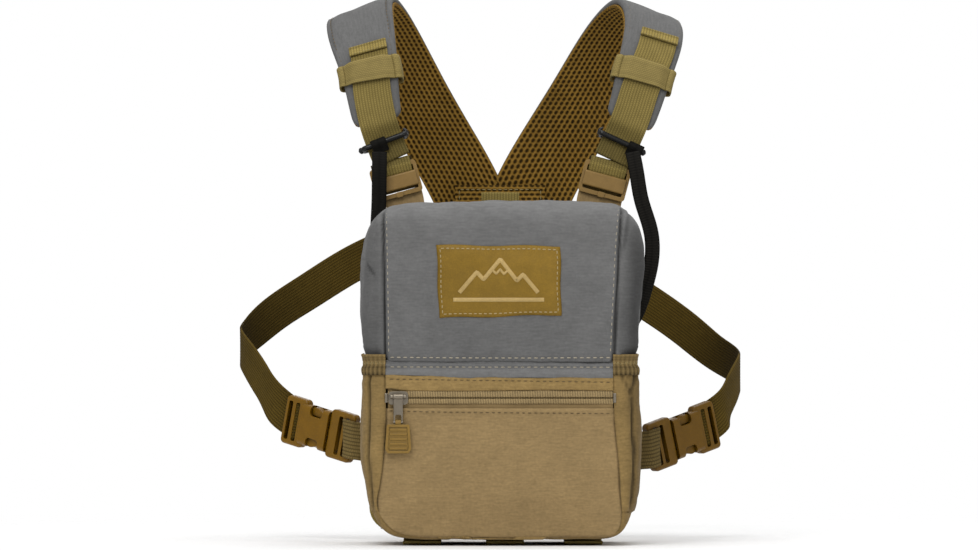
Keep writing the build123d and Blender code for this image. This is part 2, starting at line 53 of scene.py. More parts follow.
# ---- sizes shared with the CAD part ----
BODY_HALF = 91.5
FRONT_Y = -50.0
REAR_Y = 41.0
LID_REAR_Y = 42.0
LID_EDGE = 118.2
LID_SIDE_EDGE = 124.5
LID_FLAP_Z = 199.0
LID_SHOULDER_Z = 210.0
LID_ROUND = 13.0
HINGE_Y = -49.2
POCKET_BASE_Z = 17.3
POCKET_TOP_Z = 110.0
ELASTIC_TOP_Z = 123.0
FACE_TOP_Z = 87.6
ZIP_Z = 94.4
ZIP_HALF = 74.3
STRIP_BOTTOM_Z = 99.3
WEBBING_HALF = 12.7
PAD_HALF = 23.5
STRAP_ROLL = math.radians(21.0)
LADDER_ROLL = math.radians(15.0)
LADDER_CENTRE = (70.0, 49.0, 239.0)

# Places on a shoulder strap, as shares of its length.
LOCK_START = 0.006
KEEPER_AT = 0.043
PAD_START = 0.085
BAND_START, BAND_END = 0.157, 0.198
TAIL_REACH = {"left": 0.229, "right": 0.266}
STRAP_END = 0.999
MIDDLE_GAP = 0.15
# How far the webbing lies off the strap's middle, and the tethers' place on the keeper.
TAIL_SWAY = {"left": 2.8, "right": -3.4}
TETHER_HANG = {"left": 4.0, "right": 11.0}
LOCK_BACKING = {"left": -7.7, "right": -9.4}
# Belt webbing: painted shade on the short end, and how much painted shade the inner face gets past the far
# bend.
STUB_SHADE = {"left": 0.0, "right": -0.25}
BELT_BEND_SHADE = {"left": 0.62, "right": 0.72}

SHOULDER_PATH = {
    "left": [
        (71.5, 48.5, 250.5), (78.0, 51.0, 266.0), (81.5, 53.0, 277.0), (87.0, 63.0, 310.0),
        (91.3, 79.0, 331.0), (93.6, 100.0, 345.5), (91.5, 125.0, 350.5), (82.0, 157.0, 340.0),
        (57.5, 195.0, 295.0), (41.0, 209.0, 266.0), (22.6, 214.0, 232.5), (11.0, 214.5, 200.0),
    ],
    "right": [
        (74.0, 48.5, 250.5), (81.0, 51.0, 265.5), (86.0, 53.0, 277.0), (96.0, 63.0, 310.0),
        (101.5, 80.0, 331.0), (101.8, 101.0, 343.5), (97.0, 125.0, 349.5), (84.0, 157.0, 339.5),
        (58.0, 195.0, 295.0), (41.0, 209.0, 266.0), (22.6, 214.0, 232.5), (11.0, 214.5, 200.0),
    ],
}
BELT_PATH = {
    "left": [
        (142.0, 88.0, 80.0), (148.5, 94.0, 86.0), (161.0, 108.5, 103.0), (172.5, 130.0, 120.0),
        (176.5, 150.0, 127.5), (171.0, 169.0, 134.5), (156.0, 184.0, 148.0), (133.0, 197.0, 163.5),
        (99.0, 209.0, 184.5), (52.0, 221.5, 205.0), (30.0, 224.4, 214.5), (-4.0, 224.6, 226.0),
    ],
    "right": [
        (142.0, 88.0, 77.0), (147.5, 94.0, 82.0), (154.5, 106.0, 93.0), (161.0, 127.0, 105.5),
        (162.5, 147.0, 111.0), (156.5, 167.0, 116.5), (146.5, 181.0, 123.0), (128.0, 194.5, 138.0),
        (99.0, 208.5, 158.5), (52.0, 221.5, 188.5), (30.0, 224.4, 202.0), (-4.0, 224.6, 216.0),
    ],
}
PLUG_END = {"left": (97.8, 51.0, 65.0), "right": (99.5, 51.0, 59.0)}
SOCKET_END = {"left": (144.9, 90.0, 79.2), "right": (145.1, 90.9, 75.6)}
TETHER_PATH = {
    "left": [(81.0, 39.8, 258.0), (81.0, 37.8, 246.0), (81.2, 40.0, 234.0), (81.5, 43.0, 222.0),
             (82.3, 43.4, 203.0), (81.5, 42.9, 187.0)],
    "right": [(88.6, 39.8, 258.0), (91.0, 38.0, 246.0), (94.5, 40.0, 226.0), (101.0, 43.0, 204.0),
              (101.5, 45.0, 186.0), (97.0, 46.5, 166.0), (92.3, 46.6, 152.0), (87.0, 44.6, 143.0),
              (80.0, 42.8, 137.5)],
}


# ---------------------------------------------------------------- node materials
class Value:
    """Number that a node gives, so that patterns read as sums and products."""

    def __init__(self, shader, socket):
        self.shader = shader
        self.socket = socket

    def __add__(self, other):
        return self.shader.math("ADD", self, other)

    def __sub__(self, other):
        return self.shader.math("SUBTRACT", self, other)

    def __mul__(self, other):
        return self.shader.math("MULTIPLY", self, other)

    def __truediv__(self, other):
        return self.shader.math("DIVIDE", self, other)


class Shader:
    """Adds nodes to one material and links them.

    Lengths are millimetres where a pattern follows the UV map, and metres where it follows the object.
    """

    def __init__(self, name):
        self.material = bpy.data.materials.new(name)
        self.material.use_nodes = True
        self.tree = self.material.node_tree
        self.tree.nodes.clear()
        self.uv = self.add("ShaderNodeUVMap").outputs["UV"]

    def add(self, kind, settings=None, inputs=None):
        node = self.tree.nodes.new(kind)
        for key, value in (settings or {}).items():
            setattr(node, key, value)
        for key, value in (inputs or {}).items():
            self.put(node.inputs[key], value)
        return node

    def put(self, socket, value):
        if isinstance(value, Value):
            value = value.socket
        if isinstance(value, bpy.types.NodeSocket):
            self.tree.links.new(value, socket)
        else:
            socket.default_value = value

    def math(self, operation, a, b=0.0):
        node = self.add("ShaderNodeMath", {"operation": operation}, {0: a, 1: b})
        return Value(self, node.outputs[0])

    def axes(self):
        parts = self.add("ShaderNodeSeparateXYZ", inputs={"Vector": self.uv})
        return Value(self, parts.outputs["X"]), Value(self, parts.outputs["Y"])

    def object_point(self):
        return self.add("ShaderNodeTexCoord").outputs["Object"]

    def noise(self, scale, detail=2.0, vector=None, stretch=None):
        """Noise whose blobs are about `scale` across, in the units of the vector it follows."""
        source = vector or self.uv
        if stretch:
            source = self.add("ShaderNodeMapping", inputs={"Vector": source, "Scale": stretch}).outputs[0]
        inputs = {"Vector": source, "Scale": 1.0 / scale, "Detail": detail}
        return Value(self, self.add("ShaderNodeTexNoise", inputs=inputs).outputs["Fac"])

    def cells(self, size):
        inputs = {"Vector": self.uv, "Scale": 1.0 / size}
        return Value(self, self.add("ShaderNodeTexVoronoi", inputs=inputs).outputs["Distance"])

    def wave(self, value, pitch):
        """Sine between 0 and 1 with the given pitch."""
        return self.math("SINE", value * (2 * math.pi / pitch)) * 0.5 + 0.5

    def scale_range(self, value, low, high, out_low, out_high):
        inputs = {"Value": value, "From Min": low, "From Max": high, "To Min": out_low, "To Max": out_high}
        return Value(self, self.add("ShaderNodeMapRange", inputs=inputs).outputs[0])

    def around(self, value, low, high, middle, spread):
        """The value's range brought to the middle, less or more the spread."""
        return self.scale_range(value, low, high, middle - spread, middle + spread)

    def shade(self):
        """The piece's painted light: below 0 is painted shade in creases, grooves and places in shadow,
        above 0 is painted highlight.
        """
        return Value(self, self.add("ShaderNodeAttribute", {"attribute_name": "shade"}).outputs["Fac"])

    def mix(self, share, a, b):
        node = self.add("ShaderNodeMix", {"data_type": "RGBA"}, {0: share})
        for index, colour in ((6, a), (7, b)):
            self.put(node.inputs[index], (*colour, 1.0) if isinstance(colour, tuple) else colour)
        return node.outputs[2]

    def brighten(self, colour, factor):
        inputs = {0: colour, "Scale": factor}
        return self.add("ShaderNodeVectorMath", {"operation": "SCALE"}, inputs).outputs[0]

    def bevel(self, radius):
        """Normals as if the edges were rounded; the radius is in millimetres."""
        return self.add("ShaderNodeBevel", {"samples": 6}, {"Radius": radius * MM}).outputs[0]

    def bump(self, height, distance, strength=1.0, normal=None):
        inputs = {"Height": height, "Distance": distance * MM, "Strength": strength}
        if normal is not None:
            inputs["Normal"] = normal
        return self.add("ShaderNodeBump", inputs=inputs).outputs[0]

    def finish(self, colour, roughness, normal=None, metallic=0.0, specular=0.5, sheen=0.0):
        inputs = {
            "Base Color": colour, "Roughness": roughness, "Metallic": metallic,
            "Specular IOR Level": specular, "Sheen Weight": sheen, "Sheen Roughness": 0.5,
        }
        if normal is not None:
            inputs["Normal"] = normal
        surface = self.add("ShaderNodeBsdfPrincipled", inputs=inputs)
        self.add("ShaderNodeOutputMaterial", inputs={"Surface": surface.outputs[0]})
        return self.material


def tint(colour, factor):
    return tuple(min(1.0, c * factor) for c in colour)


def mottle_and_painted_light(s, colour, mottle, blotch):
    """Soft unevenness of the cloth's dye, then the piece's painted shade and painted highlights."""
    broad = s.around(s.noise(38.0, 3.0), 0.3, 0.7, 1.0, blotch)
    near = s.around(s.noise(7.0, 4.0), 0.3, 0.7, 1.0, mottle)
    colour = s.brighten(colour, broad * near)
    return s.brighten(colour, s.math("MAXIMUM", s.shade() + 1.0, 0.08))


def cloth(name, colour, thread=0.55, contrast=0.30, mottle=0.06, blotch=0.06, speckle=0.08):
    """Plain-woven pack cloth."""
    s = Shader(name)
    u, v = s.axes()
    sway = s.noise(6.0, 2.0) * 0.9
    over = s.wave(u + sway, 2 * thread) * 2.0 - 1.0
    under = s.wave(v + sway, 2 * thread) * 2.0 - 1.0
    weave = over * under * 0.5 + 0.5
    slub = s.noise(0.9, 3.0, stretch=(0.22, 1.3, 1.0)) + s.noise(0.9, 3.0, stretch=(1.3, 0.22, 1.0))
    grain = weave * 0.30 + slub * 0.35
    dye_and_painted_light = s.mix(grain, tint(colour, 1 - contrast), tint(colour, 1 + contrast))
    streak = s.noise(2.6, 3.0, stretch=(0.30, 1.7, 1.0))
    dye_and_painted_light = s.brighten(dye_and_painted_light, s.around(streak, 0.32, 0.68, 1.0, 0.08))
    fleck = s.noise(1.7, 4.0, stretch=(0.8, 1.2, 1.0))
    dye_and_painted_light = s.brighten(dye_and_painted_light, s.around(fleck, 0.32, 0.68, 1.0, speckle))
    # Mottle, then the piece's painted shade and painted highlights.
    dye_and_painted_light = mottle_and_painted_light(s, dye_and_painted_light, mottle, blotch)
    normal = s.bump(streak * 0.5 + grain, 0.10, 0.7)
    return s.finish(dye_and_painted_light, s.scale_range(grain, 0.2, 0.8, 0.92, 0.78), normal, specular=0.15, sheen=0.03)


def webbing(name, colour, rib=1.7, pick=1.3, contrast=0.45, relief=0.22, specular=0.12):
    """Narrow woven webbing: lengthwise ribs filled with a herringbone of picks."""
    s = Shader(name)
    u, v = s.axes()
    lane = v / rib
    lean = s.math("PINGPONG", s.math("FLOOR", lane), 1.0) * 2.0 - 1.0
    slant = s.math("FRACT", lane) * lean
    picks = s.math("SINE", u * (2 * math.pi / pick) + slant * math.pi) * 0.5 + 0.5
    ridge = s.math("ABSOLUTE", s.math("SINE", lane * math.pi))
    woven = s.math("POWER", ridge, 0.5) * (picks * 0.45 + 0.55)
    height = s.noise(0.7, 2.0, stretch=(0.25, 1.8, 1.0)) * 0.25 + woven * 0.8
    dye_and_painted_light = s.mix(height, tint(colour, 1 - contrast), tint(colour, 1 + contrast))
    return s.finish(mottle_and_painted_light(s, dye_and_painted_light, 0.07, 0.07), 0.8, s.bump(height, relief, 0.9), specular=specular)


MESH_COLUMN = 3.0
MESH_ROW = 4.0
HOLE_HALF = (1.45, 0.80)


def spacer_mesh(name, colour):
    """Knitted spacer mesh with staggered oval holes. The holes are painted dark, for the backing seen
    through them and the shade in them, and the ridges between them get a painted highlight.
    """
    s = Shader(name)
    u, v = s.axes()
    column = s.math("ROUND", v / MESH_COLUMN)
    across = v - column * MESH_COLUMN
    moved = u + s.math("PINGPONG", column, 1.0) * (MESH_ROW / 2)
    along = moved - s.math("ROUND", moved / MESH_ROW) * MESH_ROW
    far_u = along / HOLE_HALF[0]
    far_v = across / HOLE_HALF[1]
    reach = s.math("SQRT", far_u * far_u + far_v * far_v)
    solid = s.scale_range(reach, 0.70, 1.15, 0.0, 1.0)
    crest = s.scale_range(reach, 1.05, 1.75, 0.0, 1.0)
    yarn = s.noise(0.5, 2.0) * 0.5 + s.wave(u + v, 0.62) * 0.5
    dye_and_painted_light = s.mix(yarn, tint(colour, 0.62), tint(colour, 1.38))
    dye_and_painted_light = s.brighten(dye_and_painted_light, crest * 0.75 + 0.70)
    dye_and_painted_light = mottle_and_painted_light(s, s.mix(solid, tint(colour, 0.16), dye_and_painted_light), 0.10, 0.10)
    height = yarn * 0.2 + solid + crest * 0.5
    return s.finish(dye_and_painted_light, 0.85, s.bump(height, 0.6, 0.9), specular=0.08)


def vinyl(name, colour, roughness=0.5):
    """Coated patch stock: a fine pebble over a close weave, satin sheen."""
    s = Shader(name)
    u, v = s.axes()
    height = s.wave(u, 0.8) * s.wave(v, 0.8) * 0.5 + s.cells(0.55)
    dye_and_painted_light = mottle_and_painted_light(s, s.mix(height, tint(colour, 0.78), tint(colour, 1.18)), 0.07, 0.08)
    dull = s.scale_range(s.noise(9.0, 3.0), 0.3, 0.7, roughness - 0.07, roughness + 0.1)
    return s.finish(dye_and_painted_light, dull, s.bump(height, 0.07, 0.6), specular=0.22)


def moulded(name, colour, roughness=0.38, recess_shade=0.75):
    """Moulded nylon: faint flow marks, orange-peel skin, fine scuffs, painted highlights on the edges and
    painted shade in crevices.
    """
    s = Shader(name)
    point = s.object_point()
    flow = s.noise(0.006, 4.0, vector=point)
    peel = s.noise(0.00045, 2.0, vector=point)
    scuff = s.noise(0.0011, 6.0, vector=point, stretch=(1.0, 0.25, 1.0))
    round_edge = s.bevel(0.35)
    flat = s.add("ShaderNodeNewGeometry").outputs["Normal"]
    turn = s.add("ShaderNodeVectorMath", {"operation": "DOT_PRODUCT"}, {0: round_edge, 1: flat})
    # Painted highlight on the edges.
    edge_highlight = s.scale_range(turn.outputs["Value"], 0.995, 0.90, 0.0, 0.46)
    tone = s.mix(flow, tint(colour, 0.84), tint(colour, 1.16))
    tone = s.mix(s.scale_range(scuff, 0.56, 0.68, 0.0, 0.22), tone, tint(colour, 1.5))
    tone = s.mix(edge_highlight, tone, tint(colour, 2.0))
    # Painted shade in crevices, from ambient occlusion.
    occlusion_shade = s.add("ShaderNodeAmbientOcclusion", {"samples": 8}, {"Distance": 4.0 * MM}).outputs["AO"]
    tone = s.brighten(tone, s.scale_range(occlusion_shade, 0.25, 0.85, 1.0 - recess_shade, 1.0))
    dull = s.scale_range(scuff, 0.35, 0.7, roughness - 0.05, roughness + 0.16)
    return s.finish(tone, dull, s.bump(scuff * 0.4 + peel, 0.05, 0.5, round_edge), specular=0.28)


def metal(name, colour, roughness=0.3):
    """Plated zinc, finely brushed."""
    s = Shader(name)
    point = s.object_point()
    brushed = s.noise(0.0006, 4.0, vector=point, stretch=(3.0, 3.0, 0.3))
    spots = s.noise(0.003, 4.0, vector=point)
    tone = s.mix(spots, tint(colour, 0.75), tint(colour, 1.15))
    dull = s.scale_range(brushed, 0.3, 0.7, roughness - 0.08, roughness + 0.14)
    return s.finish(tone, dull, s.bump(brushed, 0.03, 0.5, s.bevel(0.3)), metallic=1.0)


def thread(name, colour):
    """Twisted sewing thread."""
    s = Shader(name)
    u, v = s.axes()
    twist = s.wave(u + v * 0.5, 0.55)
    tone = mottle_and_painted_light(s, s.mix(twist, tint(colour, 0.7), tint(colour, 1.25)), 0.1, 0.05)
    return s.finish(tone, 0.6, s.bump(twist, 0.06, 0.6), specular=0.35, sheen=0.1)


def soft_foam(name, colour):
    s = Shader(name)
    cells = s.cells(0.625)
    tone = mottle_and_painted_light(s, s.mix(cells, tint(colour, 0.6), tint(colour, 1.2)), 0.06, 0.05)
    return s.finish(tone, 0.95, s.bump(cells, 0.3, 0.8), specular=0.15)


def floor_material():
    """Plain pale floor that fades out into the white surroundings."""
    s = Shader("studio_floor")
    point = s.object_point()
    tone = s.mix(s.noise(0.35, 4.0, vector=point), (0.86, 0.86, 0.86), (0.90, 0.90, 0.90))
    material = s.finish(tone, 0.85, s.bump(s.noise(0.004, 3.0, vector=point), 0.05, 0.3), specular=0.1)
    far = s.add("ShaderNodeVectorMath", {"operation": "LENGTH"}, {0: point}).outputs["Value"]
    surface = next(node for node in material.node_tree.nodes if node.type == "BSDF_PRINCIPLED")
    s.put(surface.inputs["Alpha"], s.scale_range(far, 0.22, 0.75, 1.0, 0.0))
    return material


# Name: kind of surface, linear base colour, and what differs from that kind's usual look.
LOOKS = {
    "grey_cloth": (cloth, (0.152, 0.151, 0.149),
                   dict(contrast=0.26, mottle=0.05, blotch=0.05, speckle=0.06)),
    "lining_cloth": (cloth, (0.115, 0.110, 0.10), dict(thread=0.6, contrast=0.22)),
    "coyote_cloth": (cloth, (0.272, 0.187, 0.085),
                     dict(contrast=0.30, mottle=0.05, blotch=0.05, speckle=0.09)),
    "side_cloth": (cloth, (0.240, 0.160, 0.060),
                   dict(contrast=0.30, mottle=0.07, blotch=0.06, speckle=0.10)),
    "strip_cloth": (cloth, (0.285, 0.190, 0.072),
                    dict(contrast=0.30, mottle=0.07, blotch=0.06, speckle=0.11)),
    "yoke_cloth": (cloth, (0.125, 0.072, 0.018), dict(contrast=0.4)),
    "elastic_band": (webbing, (0.150, 0.104, 0.042), dict(rib=1.1, pick=1.0, contrast=0.4)),
    "belt_webbing": (webbing, (0.060, 0.039, 0.007), dict(rib=1.9, contrast=0.95, specular=0.06)),
    "strap_webbing": (webbing, (0.205, 0.155, 0.046), dict(rib=1.9, contrast=0.62)),
    "strap_shadow": (webbing, (0.135, 0.090, 0.026), dict(rib=1.9, contrast=0.25)),
    "black_webbing": (webbing, (0.0055, 0.005, 0.004), dict(rib=5.0, pick=1.8, contrast=0.5)),
    "zip_tape": (webbing, (0.215, 0.148, 0.067), dict(rib=0.9, pick=0.9, contrast=0.25, relief=0.08)),
    "elastic_strap": (webbing, (0.225, 0.172, 0.058), dict(rib=1.1, pick=1.5, contrast=0.40)),
    "stub_webbing": (webbing, (0.130, 0.092, 0.032), dict(rib=2.4, contrast=1.0)),
    "spacer_mesh": (spacer_mesh, (0.200, 0.113, 0.021), {}),
    "patch_vinyl": (vinyl, (0.222, 0.130, 0.014), {}),
    "patch_mark": (vinyl, (0.46, 0.32, 0.12), dict(roughness=0.42)),
    "buckle_plastic": (moulded, (0.180, 0.088, 0.001), dict(roughness=0.33)),
    "black_plastic": (moulded, (0.008, 0.008, 0.008), dict(roughness=0.26)),
    "lock_plastic": (moulded, (0.27, 0.165, 0.050), dict(roughness=0.33)),
    # Shaded copy of the buckle plastic, for the right buckle: painted shade.
    "buckle_dark": (moulded, (0.128, 0.062, 0.0005), dict(roughness=0.33)),
    "pull_plastic": (moulded, (0.235, 0.140, 0.028), dict(roughness=0.36, recess_shade=0.9)),
    "zip_metal": (metal, (0.26, 0.225, 0.175), dict(roughness=0.36)),
    "magnet_steel": (metal, (0.55, 0.55, 0.56), dict(roughness=0.22)),
    "zip_coil": (thread, (0.235, 0.165, 0.072), {}),
    "light_thread": (thread, (0.42, 0.37, 0.28), {}),
    "tan_thread": (thread, (0.45, 0.34, 0.16), {}),
    "brown_thread": (thread, (0.12, 0.078, 0.028), {}),
    "khaki_thread": (thread, (0.30, 0.24, 0.10), {}),
    "foam": (soft_foam, (0.06, 0.06, 0.06), {}),
}
MATERIALS = {name: kind(name, colour, **rest) for name, (kind, colour, rest) in LOOKS.items()}
MATERIALS["studio_floor"] = floor_material()


# ---------------------------------------------------------------- mesh helpers
def smooth(value, low, high):
    """Smooth step from 0 at low to 1 at high."""
    s = np.clip((np.asarray(value, float) - low) / (high - low), 0.0, 1.0)
    return s * s * (3 - 2 * s)


def hill(value, width):
    """1 where the value is 0, falling smoothly to 0 at the given distance."""
    s = np.clip(np.abs(value) / width, 0.0, 1.0)
    return (1 - s * s) ** 2


def rough(points, scale, seed):
    """Smooth repeatable noise, about -1 to 1, with blobs of the given size."""
    shift = Vector((seed * 17.3, seed * 5.1, seed * 9.7))
    flat = points.reshape(-1, 3) / scale
    values = [noise.noise(Vector(p) + shift) for p in flat]
    return np.array(values).reshape(points.shape[:-1]) * 1.6


def xyz(x, y, z):
    """Points from their coordinates, some of which may be single numbers."""
    return np.stack(np.broadcast_arrays(x, y, z), axis=-1)


def unit(vectors):
    """Vectors brought to length 1."""
    return vectors / np.maximum(np.linalg.norm(vectors, axis=-1, keepdims=True), 1e-9)


def distances(points):
    """Distance along a line of points, from its first one."""
    return np.concatenate([[0.0], np.cumsum(np.linalg.norm(np.diff(points, axis=0), axis=1))])


def between(where, places, rows):
    """Rows of numbers read at new places."""
    return np.stack([np.interp(where, places, column) for column in np.asarray(rows).T], axis=-1)


def steps(length, pitch):
    """How many grid steps cover a length."""
    return max(2, int(round(length / (pitch * 1.0))))


def smooth_table(value, places, values):
    """Cubic curve through a short list of places."""
    points = [(p, v, 0.0) for p, v in zip(places, values)]
    dense = curve_points(points, 400)
    return np.interp(value, dense[:, 0], dense[:, 1])


def curve_points(points, count):
    """Points on the smooth curve through the given ones, evenly spread by chord parameter."""
    p = np.array(points, float)
    u = distances(p)
    h = np.diff(u)
    rate = np.diff(p, axis=0) / h[:, None]
    n = len(p)
    matrix = np.zeros((n, n))
    right = np.zeros((n, p.shape[1]))
    matrix[0, 0] = matrix[-1, -1] = 1.0
    right[0] = rate[0] + (rate[0] - rate[1]) * h[0] / (h[0] + h[1])
    right[-1] = rate[-1] + (rate[-1] - rate[-2]) * h[-1] / (h[-1] + h[-2])
    for i in range(1, n - 1):
        matrix[i, i - 1] = h[i]
        matrix[i, i] = 2 * (h[i - 1] + h[i])
        matrix[i, i + 1] = h[i - 1]
        right[i] = 3 * (h[i] * rate[i - 1] + h[i - 1] * rate[i])
    slope = np.linalg.solve(matrix, right)
    x = np.linspace(0, u[-1], count)
    k = np.clip(np.searchsorted(u, x, side="right") - 1, 0, n - 2)
    s = ((x - u[k]) / h[k])[:, None]
    step = h[k][:, None]
    return (
        p[k] * (2 * s**3 - 3 * s**2 + 1)
        + slope[k] * step * (s**3 - 2 * s**2 + s)
        + p[k + 1] * (3 * s**2 - 2 * s**3)
        + slope[k + 1] * step * (s**3 - s**2)
    )


def mirror(points, side):
    """Points as they are for side 1, and swapped from right to left for side -1."""
    return [(side * x, y, z) for x, y, z in points]


class Path:
    """Smooth curve through points, read by share of its length."""

    def __init__(self, points, side=1):
        self.dense = curve_points(mirror(points, side), 1600)
        length = distances(self.dense)
        self.length = length[-1]
        self.shares = length / self.length
        self.tangents = unit(np.gradient(self.dense, axis=0))

    def at(self, shares):
        return between(shares, self.shares, self.dense)

    def along(self, shares):
        return unit(between(shares, self.shares, self.tangents))

    def frames(self, shares, side, reference):
        """Centre, across and outward directions at each share."""
        along = self.along(shares)
        ref = np.array(reference, float)
        wide = unit(ref - along * (along @ ref)[..., None])
        out = np.cross(along, wide) * side
        return self.at(shares), wide, out


def grid_normals(points, wrap=False):
    if wrap:
        across = np.roll(points, -1, axis=1) - np.roll(points, 1, axis=1)
    else:
        across = np.gradient(points, axis=1)
    along = np.gradient(points, axis=0)
    return unit(np.cross(across, along))


def raised(points, height, wrap=False):
    """A sheet's points moved out along their own normals."""
    return points + grid_normals(points, wrap) * np.asarray(height)[..., None]


def grid_faces(rows, cols, wrap=False, flip=False):
    r, c = np.meshgrid(np.arange(rows - 1), np.arange(cols if wrap else cols - 1), indexing="ij")
    right = (c + 1) % cols
    quads = np.stack([r * cols + c, r * cols + right, (r + 1) * cols + right, (r + 1) * cols + c], axis=-1)
    quads = quads.reshape(-1, 4)
    return quads[:, ::-1] if flip else quads


def make_object(name, points, faces, material, uv=None, shade=None):
    """Mesh object from millimetre points; without a UV map the faces are box-mapped."""
    mesh = bpy.data.meshes.new(name)
    mesh.from_pydata((np.asarray(points, float) * MM).tolist(), [], [list(map(int, f)) for f in faces])
    mesh.update()
    layer = mesh.uv_layers.new(name="UVMap")
    corners = np.zeros(len(mesh.loops), np.int64)
    mesh.loops.foreach_get("vertex_index", corners)
    if uv is not None:
        values = np.asarray(uv, float)[corners]
    else:
        values = box_map(mesh, np.asarray(points, float), corners)
    layer.data.foreach_set("uv", values.astype(np.float32).ravel())
    if shade is not None:
        attribute = mesh.attributes.new("shade", "FLOAT", "POINT")
        attribute.data.foreach_set("value", np.asarray(shade, np.float32).ravel())
    mesh.shade_smooth()
    obj = bpy.data.objects.new(name, mesh)
    bpy.context.scene.collection.objects.link(obj)
    obj.data.materials.append(MATERIALS[material])
    return obj


def box_map(mesh, points, corners):
    """UV in millimetres from whichever axis plane each face looks along."""
    normals = np.zeros(len(mesh.polygons) * 3)
    mesh.polygons.foreach_get("normal", normals)
    sizes = np.zeros(len(mesh.polygons), np.int64)
    mesh.polygons.foreach_get("loop_total", sizes)
    axis = np.abs(normals.reshape(-1, 3)).argmax(axis=1)
    axis = np.repeat(axis, sizes)
    co = points[corners]
    u = np.where(axis == 0, co[:, 1], co[:, 0])
    v = np.where(axis == 2, co[:, 1], co[:, 2])
    return np.stack([u, v], axis=1)


def thicken(obj, thickness):
    """Gives a sheet its cloth thickness, on the inner side."""
    modifier = obj.modifiers.new("thickness", "SOLIDIFY")
    modifier.thickness = thickness * MM
    modifier.offset = -1.0
    modifier.use_quality_normals = True


def sheet(name, points, material, thickness, wrap=False, shade=None):
    rows, cols = points.shape[:2]
    flat_shade = None if shade is None else np.broadcast_to(shade, (rows, cols))
    obj = make_object(name, points.reshape(-1, 3), grid_faces(rows, cols, wrap), material, None, flat_shade)
    if thickness:
        thicken(obj, thickness)
    return obj


def place(obj, body, slot, *nodes):
    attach(obj, body)
    if nodes:
        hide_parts(*nodes)
    return obj


def bridge(obj, slot, node, low_body, high_body, start, end):
    """Cloth between two bodies: its CAD node is hidden and its placement is baked into its mesh."""
    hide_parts(node)
    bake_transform(obj)


def band_section(half, low, high, count):
    """Loop round a flat band: across, above, and face (1 outer, -1 inner, 0 edge)."""
    r = (high - low) / 2
    mid = (high + low) / 2
    arc = np.linspace(-math.pi / 2, math.pi / 2, 7)[1:-1]
    flat = np.linspace(-1, 1, count)
    v = np.concatenate([flat * (half - r), half - r + r * np.cos(arc), -flat * (half - r),
                        -(half - r) - r * np.cos(arc)])
    w = np.concatenate([np.full(count, low), mid + r * np.sin(arc), np.full(count, high),
                        mid - r * np.sin(arc)])
    face = np.concatenate([np.full(count, -1.0), np.zeros(5), np.ones(count), np.zeros(5)])
    return v, w, face


def ribbon(name, path, span, side, reference, half, low, high, material,
           step, count, lift=None, relief=None, narrow=None, shade=None, shift=None):
    """Closed band swept along a path. relief(length, across, face) moves points out of their face."""
    start, end = span
    rows = steps((end - start) * path.length, step) + 1
    shares = np.linspace(start, end, rows)
    centre, wide, out = path.frames(shares, side, reference)
    if shift is not None:
        centre = centre + wide * shift(shares)[:, None]
    v, w, face = band_section(half, low, high, count)
    cols = len(v)
    length = (shares - start) * path.length
    across = np.broadcast_to(v, (rows, cols)).copy()
    above = np.broadcast_to(w, (rows, cols)).copy()
    if narrow is not None:
        across *= narrow(length)[:, None]
    if lift is not None:
        above += lift(shares)[:, None]
    if relief is not None:
        above += relief(length[:, None], across, face[None, :]) * np.where(face == 0, 0.0, face)[None, :]
    points = centre[:, None] + wide[:, None] * across[..., None] + out[:, None] * above[..., None]
    uv_v = np.where(face >= 0, v, v + 200.0)
    uv = np.stack(np.broadcast_arrays(length[:, None], uv_v[None, :]), axis=-1)
    flip = side > 0
    faces = [tuple(f) for f in grid_faces(rows, cols, wrap=True, flip=flip)]
    first = tuple(range(cols))
    last = tuple(range((rows - 1) * cols, rows * cols))
    faces += [first if flip else first[::-1], last[::-1] if flip else last]
    tone = None
    if shade is not None:
        tone = np.broadcast_to(shade(length[:, None], across, face[None, :]), (rows, cols))
    return make_object(name, points.reshape(-1, 3), faces, material, uv.reshape(-1, 2), tone)


def webbing_ribs(length, across, face):
    """Lengthwise ribs of webbing, with a faint ripple along it."""
    ribs = 0.14 * np.abs(np.sin(math.pi * across / 2.1))
    return np.where(np.abs(face) > 0, ribs + 0.05 * np.sin(length / 4.1), 0.0)


def strap(name, path, reference, material, side=1, span=(0, 1), half=WEBBING_HALF, low=-0.7, high=0.7,
          step=0.8, **rest):
    """Ribbed length of webbing."""
    return ribbon(name, path, span, side, reference, half, low, high, material, step=step, count=26,
                  relief=webbing_ribs, **rest)


def tube(name, line, radius, material, closed=False, sides=8):
    """Round cord along a line of points; the radius may be one number or one per point."""
    p = np.array(line, float)
    count = len(p)
    if closed:
        along = np.roll(p, -1, axis=0) - np.roll(p, 1, axis=0)
    else:
        along = np.gradient(p, axis=0)
    along = unit(along)
    guide = np.array((0.31, 0.2, 0.93)) if abs(along[0][2]) < 0.8 else np.array((0.93, 0.3, 0.1))
    wide = unit(guide - along * (along @ guide)[:, None])
    up = np.cross(along, wide)
    angle = np.linspace(0, 2 * math.pi, sides, endpoint=False)
    r = np.broadcast_to(np.asarray(radius, float), (count,))[:, None, None]
    ring = wide[:, None] * np.cos(angle)[None, :, None] + up[:, None] * np.sin(angle)[None, :, None]
    points = p[:, None] + ring * r
    faces = [tuple(f) for f in grid_faces(count, sides, wrap=True, flip=True)]
    if closed:
        last = (count - 1) * sides
        faces += [(last + i, i, (i + 1) % sides, last + (i + 1) % sides) for i in range(sides)]
    else:
        faces += [tuple(range(sides))[::-1], tuple(range((count - 1) * sides, count * sides))]
    length = distances(p)
    uv = np.stack(np.broadcast_arrays(length[:, None], np.arange(sides)[None, :] * 0.7), axis=-1)
    return make_object(name, points.reshape(-1, 3), faces, material, uv.reshape(-1, 2))


